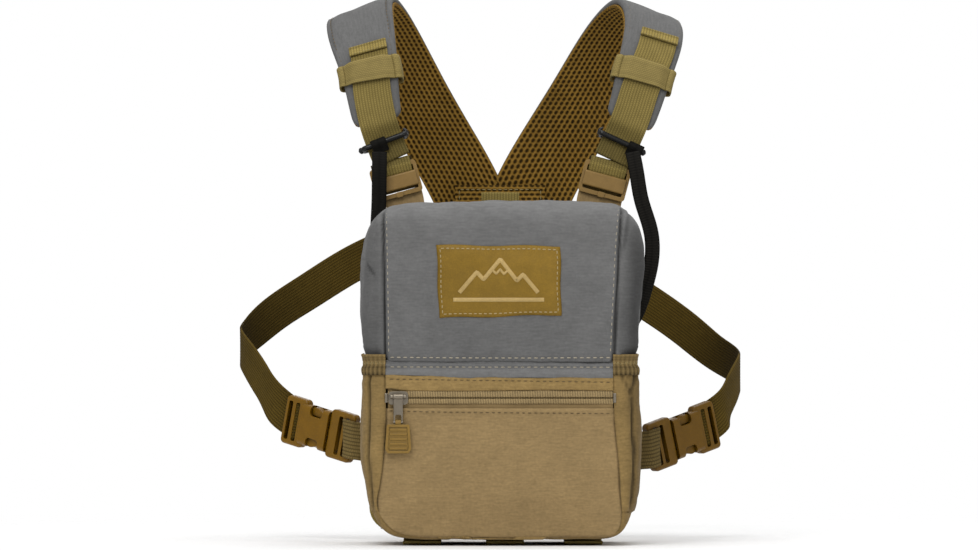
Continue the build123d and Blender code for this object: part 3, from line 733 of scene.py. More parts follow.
# ---------------------------------------------------------------- stitching
THREADS = {}
THREAD_POINTS = 600


def resample(line, count):
    p = np.asarray(line, float)
    far = distances(p)
    return between(np.linspace(0, far[-1], count), far, p), far[-1]


# Section of one dash of thread: place along it, height over the cloth, and how thick it is there.
DASH_PROFILE = ((-0.5, -0.75, 0.35), (-0.3, 0.2, 0.95), (0.0, 0.42, 1.0), (0.3, 0.2, 0.95),
                (0.5, -0.75, 0.35))


def stitch(line, normal, body, colour, pitch=4.4, dash=2.9, radius=0.30, lift=0.12):
    """Row of thread dashes on a line of points; each dash dives into the cloth at both ends."""
    dense, total = resample(line, THREAD_POINTS)
    count = max(1, int(total / pitch))
    normal = np.asarray(normal, float)
    if normal.ndim == 1:
        normal = np.broadcast_to(normal, dense.shape)
    else:
        normal, _ = resample(normal, THREAD_POINTS)
    shares = (np.arange(count) + 0.5) / count
    sides = 6
    angle = np.linspace(0, 2 * math.pi, sides, endpoint=False)
    points, faces, uvs = THREADS.setdefault((body, colour), ([], [], []))
    place_of = np.linspace(0, 1, THREAD_POINTS)
    for share in shares:
        base = sum(len(block) for block in points)
        rings = []
        for offset, height, width in DASH_PROFILE:
            at = share + offset * dash / total
            back, p, ahead = between(at + np.array((-0.5, 0.0, 0.5)) / total, place_of, dense)
            n = unit(between(at, place_of, normal))
            b = np.cross(unit(ahead - back), n)
            centre = p + n * (lift + height * radius)
            ring = np.outer(np.cos(angle), b) + np.outer(np.sin(angle), n)
            rings.append(centre + ring * radius * width)
        block = np.concatenate(rings)
        points.append(block)
        along = np.repeat(np.arange(5) * dash / 4, sides)
        uvs.append(np.stack([along, np.tile(np.arange(sides) * 0.4, 5)], axis=1))
        faces += [tuple(base + q) for q in grid_faces(5, sides, wrap=True, flip=True)]
        faces += [tuple(base + np.arange(sides))[::-1], tuple(base + 4 * sides + np.arange(sides))]


def sew_threads():
    for (body, colour), (points, faces, uvs) in THREADS.items():
        name = f"stitches_{body}_{colour}"
        obj = make_object(name, np.concatenate(points), faces, colour, np.concatenate(uvs))
        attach(obj, body)


# ---------------------------------------------------------------- lid
LID_LEFT = ([118, 150, 189, 204, 213, 220, 226], [90.8, 90.9, 90.7, 88.9, 86.0, 82.5, 80.0])
LID_RIGHT = ([118, 155, 187, 201, 212, 219, 226], [89.2, 92.0, 94.2, 93.2, 90.0, 86.6, 84.0])
SEAM_LEFT = ([118, 160, 223], [-75.9, -76.4, -77.6])
SEAM_RIGHT = ([118, 155, 192, 223], [74.4, 76.2, 77.9, 80.3])


def rounded_loop(corners, step):
    """Points of a closed outline with rounded corners; a corner is x, y and its radius."""
    places = []
    count = len(corners)
    for i in range(count):
        before = np.array(corners[i - 1][:2], float)
        here = np.array(corners[i][:2], float)
        after = np.array(corners[(i + 1) % count][:2], float)
        radius = corners[i][2]
        come = unit(here - before)
        go = unit(after - here)
        start = here - come * radius
        centre = start + go * radius
        bends = max(8, steps(radius * math.pi / 2, step))
        for k in range(bends + 1):
            angle = math.pi / 2 * k / bends
            out = (start - centre) / radius * math.cos(angle) + come * math.sin(angle)
            places.append(centre + out * radius)
        end = after - go * corners[(i + 1) % count][2]
        begin = places[-1]
        pieces = steps(np.linalg.norm(end - begin), step)
        places += [begin + (end - begin) * k / pieces for k in range(1, pieces)]
    return np.array(places)


def lid_surface(inset, step):
    """Hood of the lid as rows from its lower edge over the shoulder to the middle of the top."""
    half = BODY_HALF - inset
    y0, y1 = FRONT_Y + inset, LID_REAR_Y - inset
    mid_y = (y0 + y1) / 2
    corners = [(-half, y1, 5.0), (-half, y0, 16.0 - inset), (half, y0, 16.0 - inset), (half, y1, 5.0)]
    x, y = rounded_loop(corners, step).T
    low = LID_EDGE + (LID_SIDE_EDGE - 3.0 - LID_EDGE) * smooth(np.abs(x), 73.0, 78.0)
    low = low + (LID_FLAP_Z - low) * smooth(y, 37.2, 41.0)
    rows = []
    wall = steps(LID_SHOULDER_Z - LID_EDGE, step)
    for k in range(wall):
        share = k / wall
        rows.append(xyz(x, y, low + (LID_SHOULDER_Z - low) * share))
    arc = steps(LID_ROUND * 1.57, step)
    for k in range(arc + 1):
        angle = math.pi / 2 * k / arc
        d = LID_ROUND * (1 - math.cos(angle))
        z = LID_SHOULDER_Z + (LID_ROUND - inset) * math.sin(angle)
        rows.append(xyz(x * (1 - d / half), mid_y + (y - mid_y) * (1 - d / (y1 - mid_y)), z))
    rim = rows[-1]
    centre = np.array((0.0, -4.0, rim[0][2]))
    top = steps(40.0, step)
    for k in range(1, top + 1):
        share = 1 - k / (top + 0.02)
        rows.append(centre + (rim - centre) * (share, share, 1.0))
    points = np.array(rows)
    z = points[..., 2]
    left = smooth_table(z, *LID_LEFT) / BODY_HALF
    right = smooth_table(z, *LID_RIGHT) / BODY_HALF
    soft = smooth(points[..., 0], -30, 30)
    points[..., 0] *= left * (1 - soft) + right * soft
    across = points[..., 0]
    sag = np.where(across < 0, 3.4 * (across / 84) ** 2, 2.2 * (across / 84) ** 2)
    points[..., 2] += (1.2 - sag) * smooth(z, 196, 216)
    return points


def lid_relief(points):
    """Creases, seams and soft dents of the lid, as height and shade."""
    x, y, z = points[..., 0], points[..., 1], points[..., 2]
    front = smooth(-y, 26, 40)
    height = 1.25 * rough(points, 30.0, 1) + 0.45 * rough(points, 10.0, 2)
    height += 1.1 * np.cos(np.clip(x / 80, -1, 1) * math.pi / 2) * hill(z - 165, 52) * front
    shade = 0.05 * rough(points, 16.0, 3)
    on_front = smooth(-y, 30, 38)
    # Seams up the two front corners, with painted shade in their grooves, a faint painted highlight just
    # inside them and painted shade on the sides beyond.
    for where, sign in ((smooth_table(z, *SEAM_LEFT), -1), (smooth_table(z, *SEAM_RIGHT), 1)):
        off = (x - where) * sign
        swell = 0.5 * hill(off - 4.2, 2.8) + 0.5 * hill(off + 2.2, 2.2)
        height += on_front * (swell - 2.1 * hill(off - 0.2, 1.9))
        pale = 0.06 * hill(off + 1.8, 1.6) - 0.16 * smooth(off, 1.0, 4.0)
        shade += on_front * (pale - 0.85 * hill(off - 0.2, 1.7))
    # Fold beside the right seam's top, and a slanting crease on the left side, both with painted shade in
    # them.
    fold = np.interp(z, [188, 222], [80.2, 86.0])
    right_fold = hill(x - fold, 2.0) * smooth(-y, 20, 34) * smooth(z, 186, 196)
    height -= 0.9 * right_fold
    shade -= 0.25 * right_fold
    crease = hill((x + 86.2) + (z - 179.7) * 0.70, 1.6) * hill(z - 179.7, 8.0) * smooth(-y, 10, 20)
    height -= 1.3 * crease
    shade -= 0.45 * crease
    # Lower edge pulled in at the hinge, and the cloth puckered between the hem's stitches, with painted
    # shade along the stitch line.
    height -= 1.3 * hill(z - LID_EDGE, 3.0) * front
    near_hem = hill(z - 121.0, 5.0) * front
    height += near_hem * (0.22 * np.cos(2 * math.pi * x / 4.4) - 0.35) * (np.abs(x) < 77)
    height -= 0.5 * hill(z - 121.0, 1.1) * front
    shade -= 0.10 * hill(z - 121.0, 1.2) * front
    # Two folds at the lower left, with painted light on them.
    folds = hill(x + 62 + 0.55 * (z - 128), 2.6) * smooth(z, 124, 131) * (1 - smooth(z, 140, 152))
    folds += 0.7 * hill(x + 52 + 0.8 * (z - 128), 2.4) * smooth(z, 124, 130) * (1 - smooth(z, 136, 146))
    height += 0.7 * folds * front
    shade += 0.10 * folds * front
    # Slack sides with their hem, then the lower corners tucked into the side pockets. Painted light grows
    # towards the top; painted shade falls on the sides, far more on the right, in the tucks and over the
    # lower front.
    side = smooth(np.abs(x), 80, 88) * (1 - smooth(z, 196, 208))
    height += side * (1.3 * rough(points * (1, 1, 0.45), 22.0, 5))
    height -= 0.45 * side * hill(z - (LID_SIDE_EDGE + 5.5), 1.2)
    shade += 0.06 * smooth(z, 185, 222) + 0.05 * hill(z - 214, 10)
    shade -= np.where(x > 0, 0.36, 0.02) * smooth(np.abs(x), 80, 89) * (1 - smooth(z, 190, 215))
    tuck = smooth(np.abs(x), 76, 82) * (1 - smooth(z, 121, 131))
    height -= 2.0 * tuck
    shade -= 0.25 * tuck
    shade -= 0.12 * (1 - smooth(z, 130, 190)) * front
    return height, shade


def make_lid():
    points = lid_surface(0.0, 1.4)
    height, shade = lid_relief(points)
    height[-4:] = 0.0           # the rows that close the top in its middle
    points = raised(points, height, wrap=True)
    hood = sheet("lid_hood", points, "grey_cloth", 1.2, wrap=True, shade=shade)
    place(hood, "lid", "grey_cloth", "lid_shell")
    lining = lid_surface(2.4, 4.0)
    lining = raised(lining, np.minimum(0.8 * rough(lining, 18.0, 8), 0.1), wrap=True)
    cap = sheet("lid_lining_cloth", lining[2:], "lining_cloth", 0.8, wrap=True)
    place(cap, "lid", "lining_cloth", "lid_lining")
    return points


def front_height(grid, x, z):
    """Y of a sheet at given x and z, from its nearest grid points on the front."""
    flat = grid.reshape(-1, 3)
    flat = flat[flat[:, 1] < -30]
    x, z = np.atleast_1d(x), np.atleast_1d(z)
    result = np.empty(len(x))
    for i, (a, b) in enumerate(zip(x, z)):
        far = (flat[:, 0] - a) ** 2 + (flat[:, 2] - b) ** 2
        near = np.argsort(far)[:4]
        weight = 1.0 / (far[near] + 0.05)
        result[i] = (flat[near, 1] * weight).sum() / weight.sum()
    return result


def front_line(grid, x, z, count):
    """Line of points lying on the front of a sheet, through the given x and z."""
    x = np.interp(np.linspace(0, 1, count), np.linspace(0, 1, len(x)), x)
    z = np.interp(np.linspace(0, 1, count), np.linspace(0, 1, len(z)), z)
    return xyz(x, front_height(grid, x, z), z)


def make_lid_seams(grid):
    hem = front_line(grid, [-73.6, -30, 20, 73.0], [121.3, 120.9, 120.8, 121.1], 160)
    stitch(hem, FORWARD, "lid", "light_thread", pitch=4.3, dash=2.8, radius=0.42)
    for places, values, inward in ((*SEAM_LEFT, 2.2), (*SEAM_RIGHT, -2.2)):
        z = np.linspace(124, 221, 12)
        x = np.interp(z, places, values) + inward
        line = front_line(grid, x, z, 120)
        stitch(line, FORWARD, "lid", "light_thread", pitch=4.2, dash=2.4, radius=0.30, lift=0.0)


PATCH_WIDE = 82.0
PATCH_TALL = 47.0
PATCH_CORNERS = ((-40.6, 147.2), (40.1, 149.2), (39.5, 194.7), (-42.3, 195.4))


def patch_point(p, q):
    """Place on the patch: p from its left edge to its right, q from bottom to top."""
    a, b, c, d = [np.array(corner) for corner in PATCH_CORNERS]
    p, q = np.asarray(p, float)[..., None], np.asarray(q, float)[..., None]
    flat = a * (1 - p) * (1 - q) + b * p * (1 - q) + c * p * q + d * (1 - p) * q
    wavy = 0.45 * np.sin(p * 11.0) * np.abs(2 * q - 1) ** 6
    flat[..., 1] += wavy[..., 0]
    flat[..., 0] += (0.35 * np.sin(q * 9.0 + 1) * np.abs(2 * p - 1) ** 6)[..., 0]
    return flat


def make_patch(grid):
    cols, rows = steps(PATCH_WIDE, 1.6) + 1, steps(PATCH_TALL, 1.6) + 1
    p, q = np.meshgrid(np.linspace(0, 1, cols), np.linspace(0, 1, rows))
    flat = patch_point(p, q)
    x, z = flat[..., 0], flat[..., 1]
    flat_x = np.linspace(-44, 42, 14)
    flat_z = np.linspace(145, 197, 9)
    mesh_x, mesh_z = np.meshgrid(flat_x, flat_z)
    base = front_height(grid, mesh_x.ravel(), mesh_z.ravel()).reshape(mesh_x.shape)
    col = np.clip(np.searchsorted(flat_x, x) - 1, 0, 12)
    row = np.clip(np.searchsorted(flat_z, z) - 1, 0, 7)
    fx = (x - flat_x[col]) / np.diff(flat_x)[0]
    fz = (z - flat_z[row]) / np.diff(flat_z)[0]
    y = (base[row, col] * (1 - fx) * (1 - fz) + base[row, col + 1] * fx * (1 - fz)
         + base[row + 1, col] * (1 - fx) * fz + base[row + 1, col + 1] * fx * fz)
    edge = np.minimum(np.minimum(p, 1 - p) * PATCH_WIDE, np.minimum(q, 1 - q) * PATCH_TALL)
    lift = 1.5 - 0.9 * hill(edge, 1.4) - 0.35 * hill(edge - 2.3, 1.2) + 0.25 * hill(edge - 9, 9)
    points = xyz(x, y - lift, z)
    points[..., 1] -= 0.12 * rough(points, 9.0, 12)
    # Painted highlight on the rim, painted shade in the stitch groove, and painted light growing towards the
    # upper right.
    shade = 0.10 * hill(edge - 0.4, 1.2) - 0.14 * hill(edge - 2.3, 1.0)
    shade = shade + 0.12 * smooth(p + q, 0.6, 1.9) - 0.04
    obj = sheet("lid_patch_panel", points, "patch_vinyl", 1.2, shade=shade)
    place(obj, "lid", "patch_vinyl", "lid_patch")
    a, b = 2.3 / PATCH_WIDE, 2.3 / PATCH_TALL
    loop = [(a, b), (1 - a, b), (1 - a, 1 - b), (a, 1 - b), (a, b)]
    for (p0, q0), (p1, q1) in zip(loop, loop[1:]):
        share = np.linspace(0, 1, 60)
        x, z = patch_point(p0 + (p1 - p0) * share, q0 + (q1 - q0) * share).T
        line = xyz(x, front_height(points, x, z), z)
        stitch(line, FORWARD, "lid", "tan_thread", pitch=3.3, dash=2.3, radius=0.36, lift=0.05)
    make_emblem(points)


EMBLEM_CENTRE = (-1.2, 172.5)


def make_emblem(patch):
    """Plain mark of three peaks over a base line, raised from the patch."""
    peaks = [(-26, -8.5), (-14.5, 5.0), (-10.0, 0.2), (1.0, 13.5), (12.0, -0.6), (16.0, 3.4), (26, -8.5)]
    ground = [(-30, -13.2), (30, -13.2)]
    snow = [(-4.6, 6.8), (-1.6, 4.0), (1.0, 6.8), (3.4, 3.8), (6.4, 6.4)]
    points, faces = [], []
    for stroke, width in ((peaks, 1.35), (ground, 1.35), (snow, 0.8)):
        line = np.array(stroke, float)
        dense, _ = resample(np.c_[line, np.zeros(len(line))], 120)
        along = unit(np.gradient(dense[:, :2], axis=0))
        out = np.stack([-along[:, 1], along[:, 0]], axis=1)
        base = len(points)
        for offset, height in ((-1.0, 0.0), (-0.8, 0.4), (0.8, 0.4), (1.0, 0.0)):
            x, z = (dense[:, :2] + out * offset * width + EMBLEM_CENTRE).T
            points += xyz(x, front_height(patch, x, z) - height - 0.02, z).tolist()
        for f in grid_faces(4, 120, flip=True):
            faces.append(tuple(base + f))
    obj = make_object("lid_patch_mark", np.array(points), faces, "patch_mark")
    place(obj, "lid", "patch_vinyl")


def make_lid_tab():
    """Doubled webbing tab at the back of the lid."""
    line = [(0, 43.4, 199.6), (0, 43.9, 208), (0, 44.1, 216), (0, 43.7, 224), (0, 43.3, 231.0)]
    obj = strap("lid_tab_webbing", Path(line), (-1, 0, 0), "strap_webbing", low=-1.1, high=1.1, step=1.2)
    place(obj, "lid", "strap_webbing", "lid_pull_tab")


# ---------------------------------------------------------------- lower body
# Paired places: the seam round the front face, and the silhouette just outside it, as (x, z).
RIM = [
    ((-75.9, 124.0), (-91.2, 124.0)), ((-75.9, 110.0), (-91.2, 110.0)), ((-75.9, 79.0), (-91.5, 78.0)),
    ((-77.5, 54.8), (-91.0, 50.0)), ((-80.2, 35.0), (-89.0, 33.0)), ((-81.6, 23.0), (-86.9, 21.5)),
    ((-77.6, 14.0), (-82.6, 12.0)), ((-71.0, 7.2), (-75.6, 4.0)), ((-61.5, 3.8), (-62.5, 0.2)),
    ((-30.0, 1.8), (-30.0, -0.2)), ((0.0, 1.2), (0.0, -0.2)), ((30.0, 1.6), (30.0, -0.2)),
    ((62.0, 2.4), (64.0, -0.1)), ((74.6, 4.0), (78.2, 3.0)), ((79.2, 11.0), (84.2, 9.5)),
    ((80.2, 18.5), (87.4, 18.0)), ((79.6, 28.0), (90.5, 27.5)), ((78.4, 48.0), (92.0, 48.0)),
    ((75.6, 78.0), (92.4, 78.0)), ((74.4, 101.0), (91.9, 101.0)), ((74.2, 110.0), (91.4, 110.0)),
    ((74.2, 124.0), (90.4, 124.0)),
]
RIM_POINTS = 1200
SEAM_CURVE = curve_points([(x, 0, z) for (x, z), _ in RIM], RIM_POINTS)
EDGE_CURVE = curve_points([(x, 0, z) for _, (x, z) in RIM], RIM_POINTS)


def rim_shares(curve):
    """Where each paired place sits along a dense curve."""
    places = []
    for seam, edge in RIM:
        goal = seam if curve is SEAM_CURVE else edge
        far = (curve[:, 0] - goal[0]) ** 2 + (curve[:, 2] - goal[1]) ** 2
        places.append(int(np.argmin(far)))
    return np.array(places, float)


SEAM_AT = rim_shares(SEAM_CURVE)
EDGE_AT = rim_shares(EDGE_CURVE)
RIM_INDEX = np.arange(len(RIM), dtype=float)


def rim_point(index):
    """Seam and silhouette places for a running index along the rim list."""
    seam = np.interp(index, RIM_INDEX, SEAM_AT)
    edge = np.interp(index, RIM_INDEX, EDGE_AT)
    span = np.arange(RIM_POINTS)
    return between(seam, span, SEAM_CURVE[:, ::2]), between(edge, span, EDGE_CURVE[:, ::2])


def rim_index_at(height, right):
    """Running index where the silhouette passes a height on one side."""
    index = np.linspace(11, 21, 2000) if right else np.linspace(0, 10, 2000)
    _, edge = rim_point(index)
    order = np.argsort(edge[:, 1])
    return float(np.interp(height, edge[order, 1], index[order]))


def rim_surface(start, end, step, offset=0.0):
    """Skin from the front seam round the corner to the rear edge, between two places on the rim."""
    trial = np.linspace(start, end, 300)
    _, edge = rim_point(trial)
    far = distances(edge)
    rows = steps(far[-1], step) + 1
    index = np.interp(np.linspace(0, far[-1], rows), far, trial)
    seam, edge = rim_point(index)
    side = smooth(edge[:, 1], 4.0, 22.0)
    depth = 6.0 + 9.0 * side
    bend = np.linspace(0, math.pi / 2, 13)
    straight = np.linspace(0, 1, steps(80, step) + 1)[1:]
    points = []
    for s, e, d in zip(seam, edge, depth):
        share = np.concatenate([np.sin(bend), np.ones(len(straight))])
        y = FRONT_Y + np.concatenate([d * (1 - np.cos(bend)), d + (REAR_Y - FRONT_Y - d) * straight])
        flat = s + (e - s) * share[:, None]
        points.append(xyz(flat[:, 0], y, flat[:, 1]))
    return raised(np.array(points), offset)


def side_relief(points, right):
    """Folds and sag of a side pocket, as height and shade."""
    x, y, z = points[..., 0], points[..., 1], points[..., 2]
    front = smooth(-y, 20, 32)
    height = 0.9 * rough(points, 24.0, 21) + 0.3 * rough(points, 8.0, 22)
    height += 1.4 * hill(z - 62, 46) * smooth(y, -34, -10) * (1 - smooth(y, 24, 40))
    shade = 0.06 * rough(points, 14.0, 23)
    # Fold down the front corner; on the right it splits into two pleats under the elastic. Painted shade
    # lies along the fold lines.
    if right:
        line = np.interp(z, [19, 60, 96.4], [86.6, 88.6, 86.2])
        fold = hill(x - line, 1.5) * front * smooth(z, 18, 24) * (1 - smooth(z, 94, 98))
        for spread in (-5.2, 3.6):
            pleat = 86.0 + spread * smooth(z, 95, 110)
            fold = np.maximum(fold, 0.75 * hill(x - pleat, 1.9) * front * smooth(z, 94, 97))
        crumple = hill(z - 20, 9) * front
        height += crumple * 0.9 * rough(points, 5.0, 24)
    else:
        line = np.interp(z, [19, 60, 110], [-84.6, -87.2, -86.8])
        fold = hill(x - line, 1.3) * front * smooth(z, 18, 24)
    height -= 1.5 * fold
    shade -= 0.68 * fold
    # Seam to the base, with painted shade along it, and the gathers under the elastic.
    height -= 1.6 * hill(z - POCKET_BASE_Z, 2.6)
    shade -= 0.25 * hill(z - POCKET_BASE_Z, 2.0)
    height -= 1.1 * smooth(z, 103, 110)
    height += 0.4 * np.sin(y * 0.9 + x * 0.4) * smooth(z, 92, 108)
    return height, shade


def make_lower_skin():
    low_left, low_right = rim_index_at(POCKET_BASE_Z, False), rim_index_at(POCKET_BASE_Z, True)
    base = rim_surface(low_left - 0.12, low_right + 0.12, 2.4, offset=-1.3)
    base = raised(base, 0.4 * rough(base, 18.0, 31))
    # Painted shade over the whole base, with random unevenness.
    tone = -0.04 + 0.04 * rough(base, 15.0, 32)
    obj = sheet("base_cloth", base, "side_cloth", 1.2, shade=tone)
    place(obj, "root", "coyote_cloth", "base_panel")
    for name, right in (("left", False), ("right", True)):
        top, low = rim_index_at(POCKET_TOP_Z + 2.0, right), rim_index_at(POCKET_BASE_Z, right)
        start, end = (low, top) if right else (top, low)
        points = rim_surface(start, end, 1.25)
        height, shade = side_relief(points, right)
        points = raised(points, height)
        # Painted shade on the outer side of the right pocket.
        shade = shade - (0.30 if right else 0.0) * smooth(np.abs(points[..., 0]), 80, 90)
        obj = sheet(f"side_pocket_cloth_{name}", points, "side_cloth", 1.2, shade=shade)
        place(obj, "root", "coyote_cloth", f"side_pocket_{name}")
        make_elastic(name, right)
        side = SIDES[name]
        z = np.linspace(22, 106, 30)
        edge = xyz(np.interp(z, *edge_height(right)) + side * 0.4, REAR_Y - 5.0, z)
        stitch(edge, (side, 0, 0), "root", "brown_thread", pitch=3.6, dash=2.2, radius=0.26)


def edge_height(right):
    """Silhouette x against height on one side, for placing things on it."""
    index = np.linspace(12, 21, 300) if right else np.linspace(9, 0, 300)
    _, edge = rim_point(index)
    return edge[:, 1], edge[:, 0]


def make_elastic(name, right):
    """Gathered elastic round the mouth of a side pocket."""
    top, low = rim_index_at(ELASTIC_TOP_Z, right), rim_index_at(POCKET_TOP_Z - 0.6, right)
    start, end = (low, top) if right else (top, low)
    points = rim_surface(start, end, 0.9, offset=0.2)
    columns = points.shape[1]
    finer = np.linspace(0, columns - 1, columns * 3)
    points = np.array([between(finer, np.arange(columns), row) for row in points])
    z = points[..., 2]
    far = distances(points[0])
    gather = np.sin(2 * math.pi * far / 3.4 + 1.3 * np.sin(far / 6.0))[None, :]
    inner = np.interp(z, [POCKET_TOP_Z, ELASTIC_TOP_Z], [1.0, 0.35])
    height = 0.50 * gather * inner * hill(z - 116, 9)
    height += 0.5 * hill(z - 112.5, 4.0) - 0.9 * hill(z - 117.0, 3.0) + 0.9 * hill(z - ELASTIC_TOP_Z, 2.6)
    points = raised(points, height)
    # Painted light and shade: the gathers lit and shaded in turn, painted highlights on the top edge and
    # along the stitch row, painted shade at the foot and in the groove below the stitch row.
    shade = 0.38 * gather * inner + 0.55 * hill(z - ELASTIC_TOP_Z, 1.4) - 0.4 * hill(z - POCKET_TOP_Z, 1.8)
    shade = shade + 0.60 * hill(z - 117.6, 1.9) - 0.30 * hill(z - 114.6, 1.4)
    obj = sheet(f"pocket_elastic_{name}", points, "elastic_band", 1.2, shade=shade)
    place(obj, "root", "elastic_band", f"side_pocket_elastic_{name}")
    row = int(np.argmin(np.abs(points[:, 0, 2] - 118.0)))
    line = points[row]
    normal = grid_normals(points)[row]
    zig = line.copy()
    zig[:, 2] += 0.9 * np.sign(np.sin(2 * math.pi * far / 3.0))
    stitch(zig, normal, "root", "khaki_thread", pitch=2.2, dash=2.0, radius=0.20, lift=0.1)


def face_bounds(z):
    """Left and right seam of the front face at a height."""
    left = SEAM_CURVE[:RIM_POINTS // 2][::-1]
    right = SEAM_CURVE[RIM_POINTS // 2:]
    keep_left = left[:, 0] < -40
    keep_right = right[:, 0] > 40
    return (np.interp(z, left[keep_left][:, 2], left[keep_left][:, 0]),
            np.interp(z, right[keep_right][:, 2], right[keep_right][:, 0]))


def face_surface():
    """Front panel of the pocket, between the seams, from the base up to the zip."""
    cols, rows = steps(160, 1.8) + 1, steps(86, 1.8) + 1
    bottom = SEAM_CURVE[(SEAM_CURVE[:, 2] < 22.5) & (np.abs(SEAM_CURVE[:, 0]) < 81.7)]
    order = np.argsort(bottom[:, 0])
    shares = np.linspace(0, 1, cols)
    shares = 0.5 - 0.5 * np.cos(math.pi * shares) * (0.4 + 0.6 * np.abs(np.cos(math.pi * shares)) ** 0.5)
    points = np.zeros((rows, cols, 3))
    for c, share in enumerate(shares):
        x_low = -81.4 + 161.3 * share
        z_low = np.interp(x_low, bottom[order, 0], bottom[order, 2])
        z = z_low + (FACE_TOP_Z - z_low) * np.linspace(0, 1, rows)
        left, right = face_bounds(np.maximum(z, 21.0))
        wide = left + (right - left) * share
        settle = smooth(z, z_low, z_low + 30)
        points[:, c, 0] = x_low * (1 - settle) + wide * settle
        points[:, c, 2] = z
    points[..., 1] = FRONT_Y
    return points


def make_pocket_face():
    points = face_surface()
    x, z = points[..., 0], points[..., 2]
    left, right = face_bounds(np.maximum(z, 21.0))
    edge = np.minimum(np.minimum(x - left, right - x), np.maximum(z - 1.5, 0))
    edge = np.maximum(edge, 0)
    belly = 3.2 * smooth(edge, 0, 30) * smooth(z, 0, 30) * (1 - 0.45 * smooth(z, 50, 86))
    height = belly + 0.8 * rough(points, 34.0, 41) + 0.28 * rough(points, 11.0, 42)
    hem = hill(z - (FACE_TOP_Z - 3.2), 1.2)
    height += 0.7 * smooth(z, FACE_TOP_Z - 7.5, FACE_TOP_Z - 5.5) - 0.55 * hem
    height += 0.18 * np.cos(2 * math.pi * x / 4.0) * hill(z - (FACE_TOP_Z - 3.0), 4.0)
    height -= 1.4 * hill(edge, 2.0)
    points[..., 1] -= height
    # Painted shade along the seams and in the hem groove, a painted highlight on the top edge, and painted
    # light growing upwards.
    shade = 0.05 * rough(points, 20.0, 43) - 0.32 * hill(edge, 1.5) - 0.10 * hem
    shade += 0.07 * hill(z - FACE_TOP_Z, 1.5) + 0.05 * smooth(z, 20, 80)
    obj = sheet("pocket_front_cloth", points, "coyote_cloth", 1.2, shade=shade)
    place(obj, "root", "coyote_cloth", "pocket_face")
    top = front_line(points, [-74.2, -40, 20, 73.0], [86.0, 85.2, 84.6, 84.2], 150)
    stitch(top, FORWARD, "root", "brown_thread", pitch=4.0, dash=2.5, radius=0.27, lift=0.05)
    return points


def make_pocket_strip():
    """Coyote strip above the zip, its lower edge folded under."""
    cols, rows = steps(150, 1.8) + 1, steps(10, 0.8) + 1
    x, q = np.meshgrid(np.linspace(-75.9, 74.3, cols), np.linspace(0, 1, rows))
    low = STRIP_BOTTOM_Z + 0.4 * np.sin(x / 21.0) + 1.3 * hill(x + 73, 8)
    high = np.interp(x, [-76, -20, 75], [110.4, 108.2, 108.0])
    z = low + (high - low) * q
    base = xyz(x, FRONT_Y, z)
    height = 0.5 * rough(base, 14.0, 51) + 0.2 * rough(base, 5.0, 52)
    height += 0.9 * np.sqrt(np.clip(q * 5, 0, 1)) + 1.6 * hill(x + 72, 9) * hill(q, 0.5)
    height -= 0.45 * hill(z - np.interp(x, [-76, 75], [106.9, 104.8]), 1.1)
    height -= 1.0 * smooth(q, 0.86, 1.0)
    base[..., 1] -= height
    # Painted shade along the top, and a painted highlight on the folded lower edge.
    shade = -0.12 * hill(q - 1, 0.15) + 0.10 * hill(q - 0.05, 0.12) + 0.05 * rough(base, 9.0, 53)
    obj = sheet("pocket_strip_cloth", base, "strip_cloth", 1.0, shade=shade)
    place(obj, "root", "coyote_cloth", "pocket_top_strip")
    line = front_line(base, [-74.0, 20, 73.0], [106.9, 105.6, 104.8], 140)
    stitch(line, FORWARD, "root", "brown_thread", pitch=4.2, dash=2.6, radius=0.26, lift=0.05)


def make_hinge_cloth():
    """Grey strip that carries the lid: sewn to the body below, bending at the hinge above."""
    cols, rows = steps(150, 1.6) + 1, steps(11, 0.7) + 1
    x, q = np.meshgrid(np.linspace(-75.9, 74.2, cols), np.linspace(0, 1, rows))
    low = np.interp(x, [-76, -20, 75], [109.6, 107.7, 107.5]) + 0.25 * np.sin(x / 13.0)
    z = low + (119.4 - low) * q
    base = xyz(x, FRONT_Y - 0.35, z)
    height = 0.30 * rough(base, 12.0, 61) + 0.25 * np.cos(2 * math.pi * x / 4.4) * hill(z - 114.8, 3.5)
    height += 0.35 * hill(z - 111.5, 3.0) - 1.0 * hill(z - 114.8, 1.4) - 2.1 * smooth(z, 115.8, 118.6)
    base[..., 1] -= height
    # Painted highlight on the bulge above the seam, painted shade in the stitch groove and at the bend.
    shade = 0.14 * hill(z - 111.5, 4) - 0.12 * hill(z - 114.8, 1.2) - 0.15 * hill(z - 118, 1.6)
    obj = sheet("hinge_cloth", base, "grey_cloth", 0.9, shade=shade)
    bridge(obj, "grey_cloth", "hinge_strip", "root", "lid", (0, HINGE_Y, 115.4), (0, HINGE_Y, 118.6))
    line = front_line(base, [-73.6, -20, 73.0], [114.9, 114.8, 114.7], 150)
    stitch(line, FORWARD, "root", "light_thread", pitch=4.3, dash=2.8, radius=0.38, lift=0.0)


def make_pocket_gusset():
    """Wall between the front pocket and the main compartment, with its roof."""
    places = [(-78.6, 113.2), (-75.4, 24.0), (-62.0, 13.0), (62.0, 13.0), (75.4, 24.0), (78.6, 113.2)]
    line = resample([(x, 0, z) for x, z in places], 60)[0]
    depth = np.linspace(-47.6, -31.0, 9)
    points = xyz(line[:, :1], depth, line[:, 2:])
    points[..., 2] += 0.4 * rough(points, 9.0, 66)
    obj = sheet("pocket_gusset_cloth", points, "lining_cloth", 1.0)
    place(obj, "root", "lining_cloth", "pocket_gusset")
    x, y = np.meshgrid(np.linspace(-78.4, 78.4, 50), np.linspace(-47.8, -30.8, 9))
    roof = xyz(x, y, 113.4 + 0.3 * np.sin(x / 9.0))
    roof_obj = sheet("pocket_roof_cloth", roof, "lining_cloth", 1.0)
    place(roof_obj, "root", "lining_cloth")


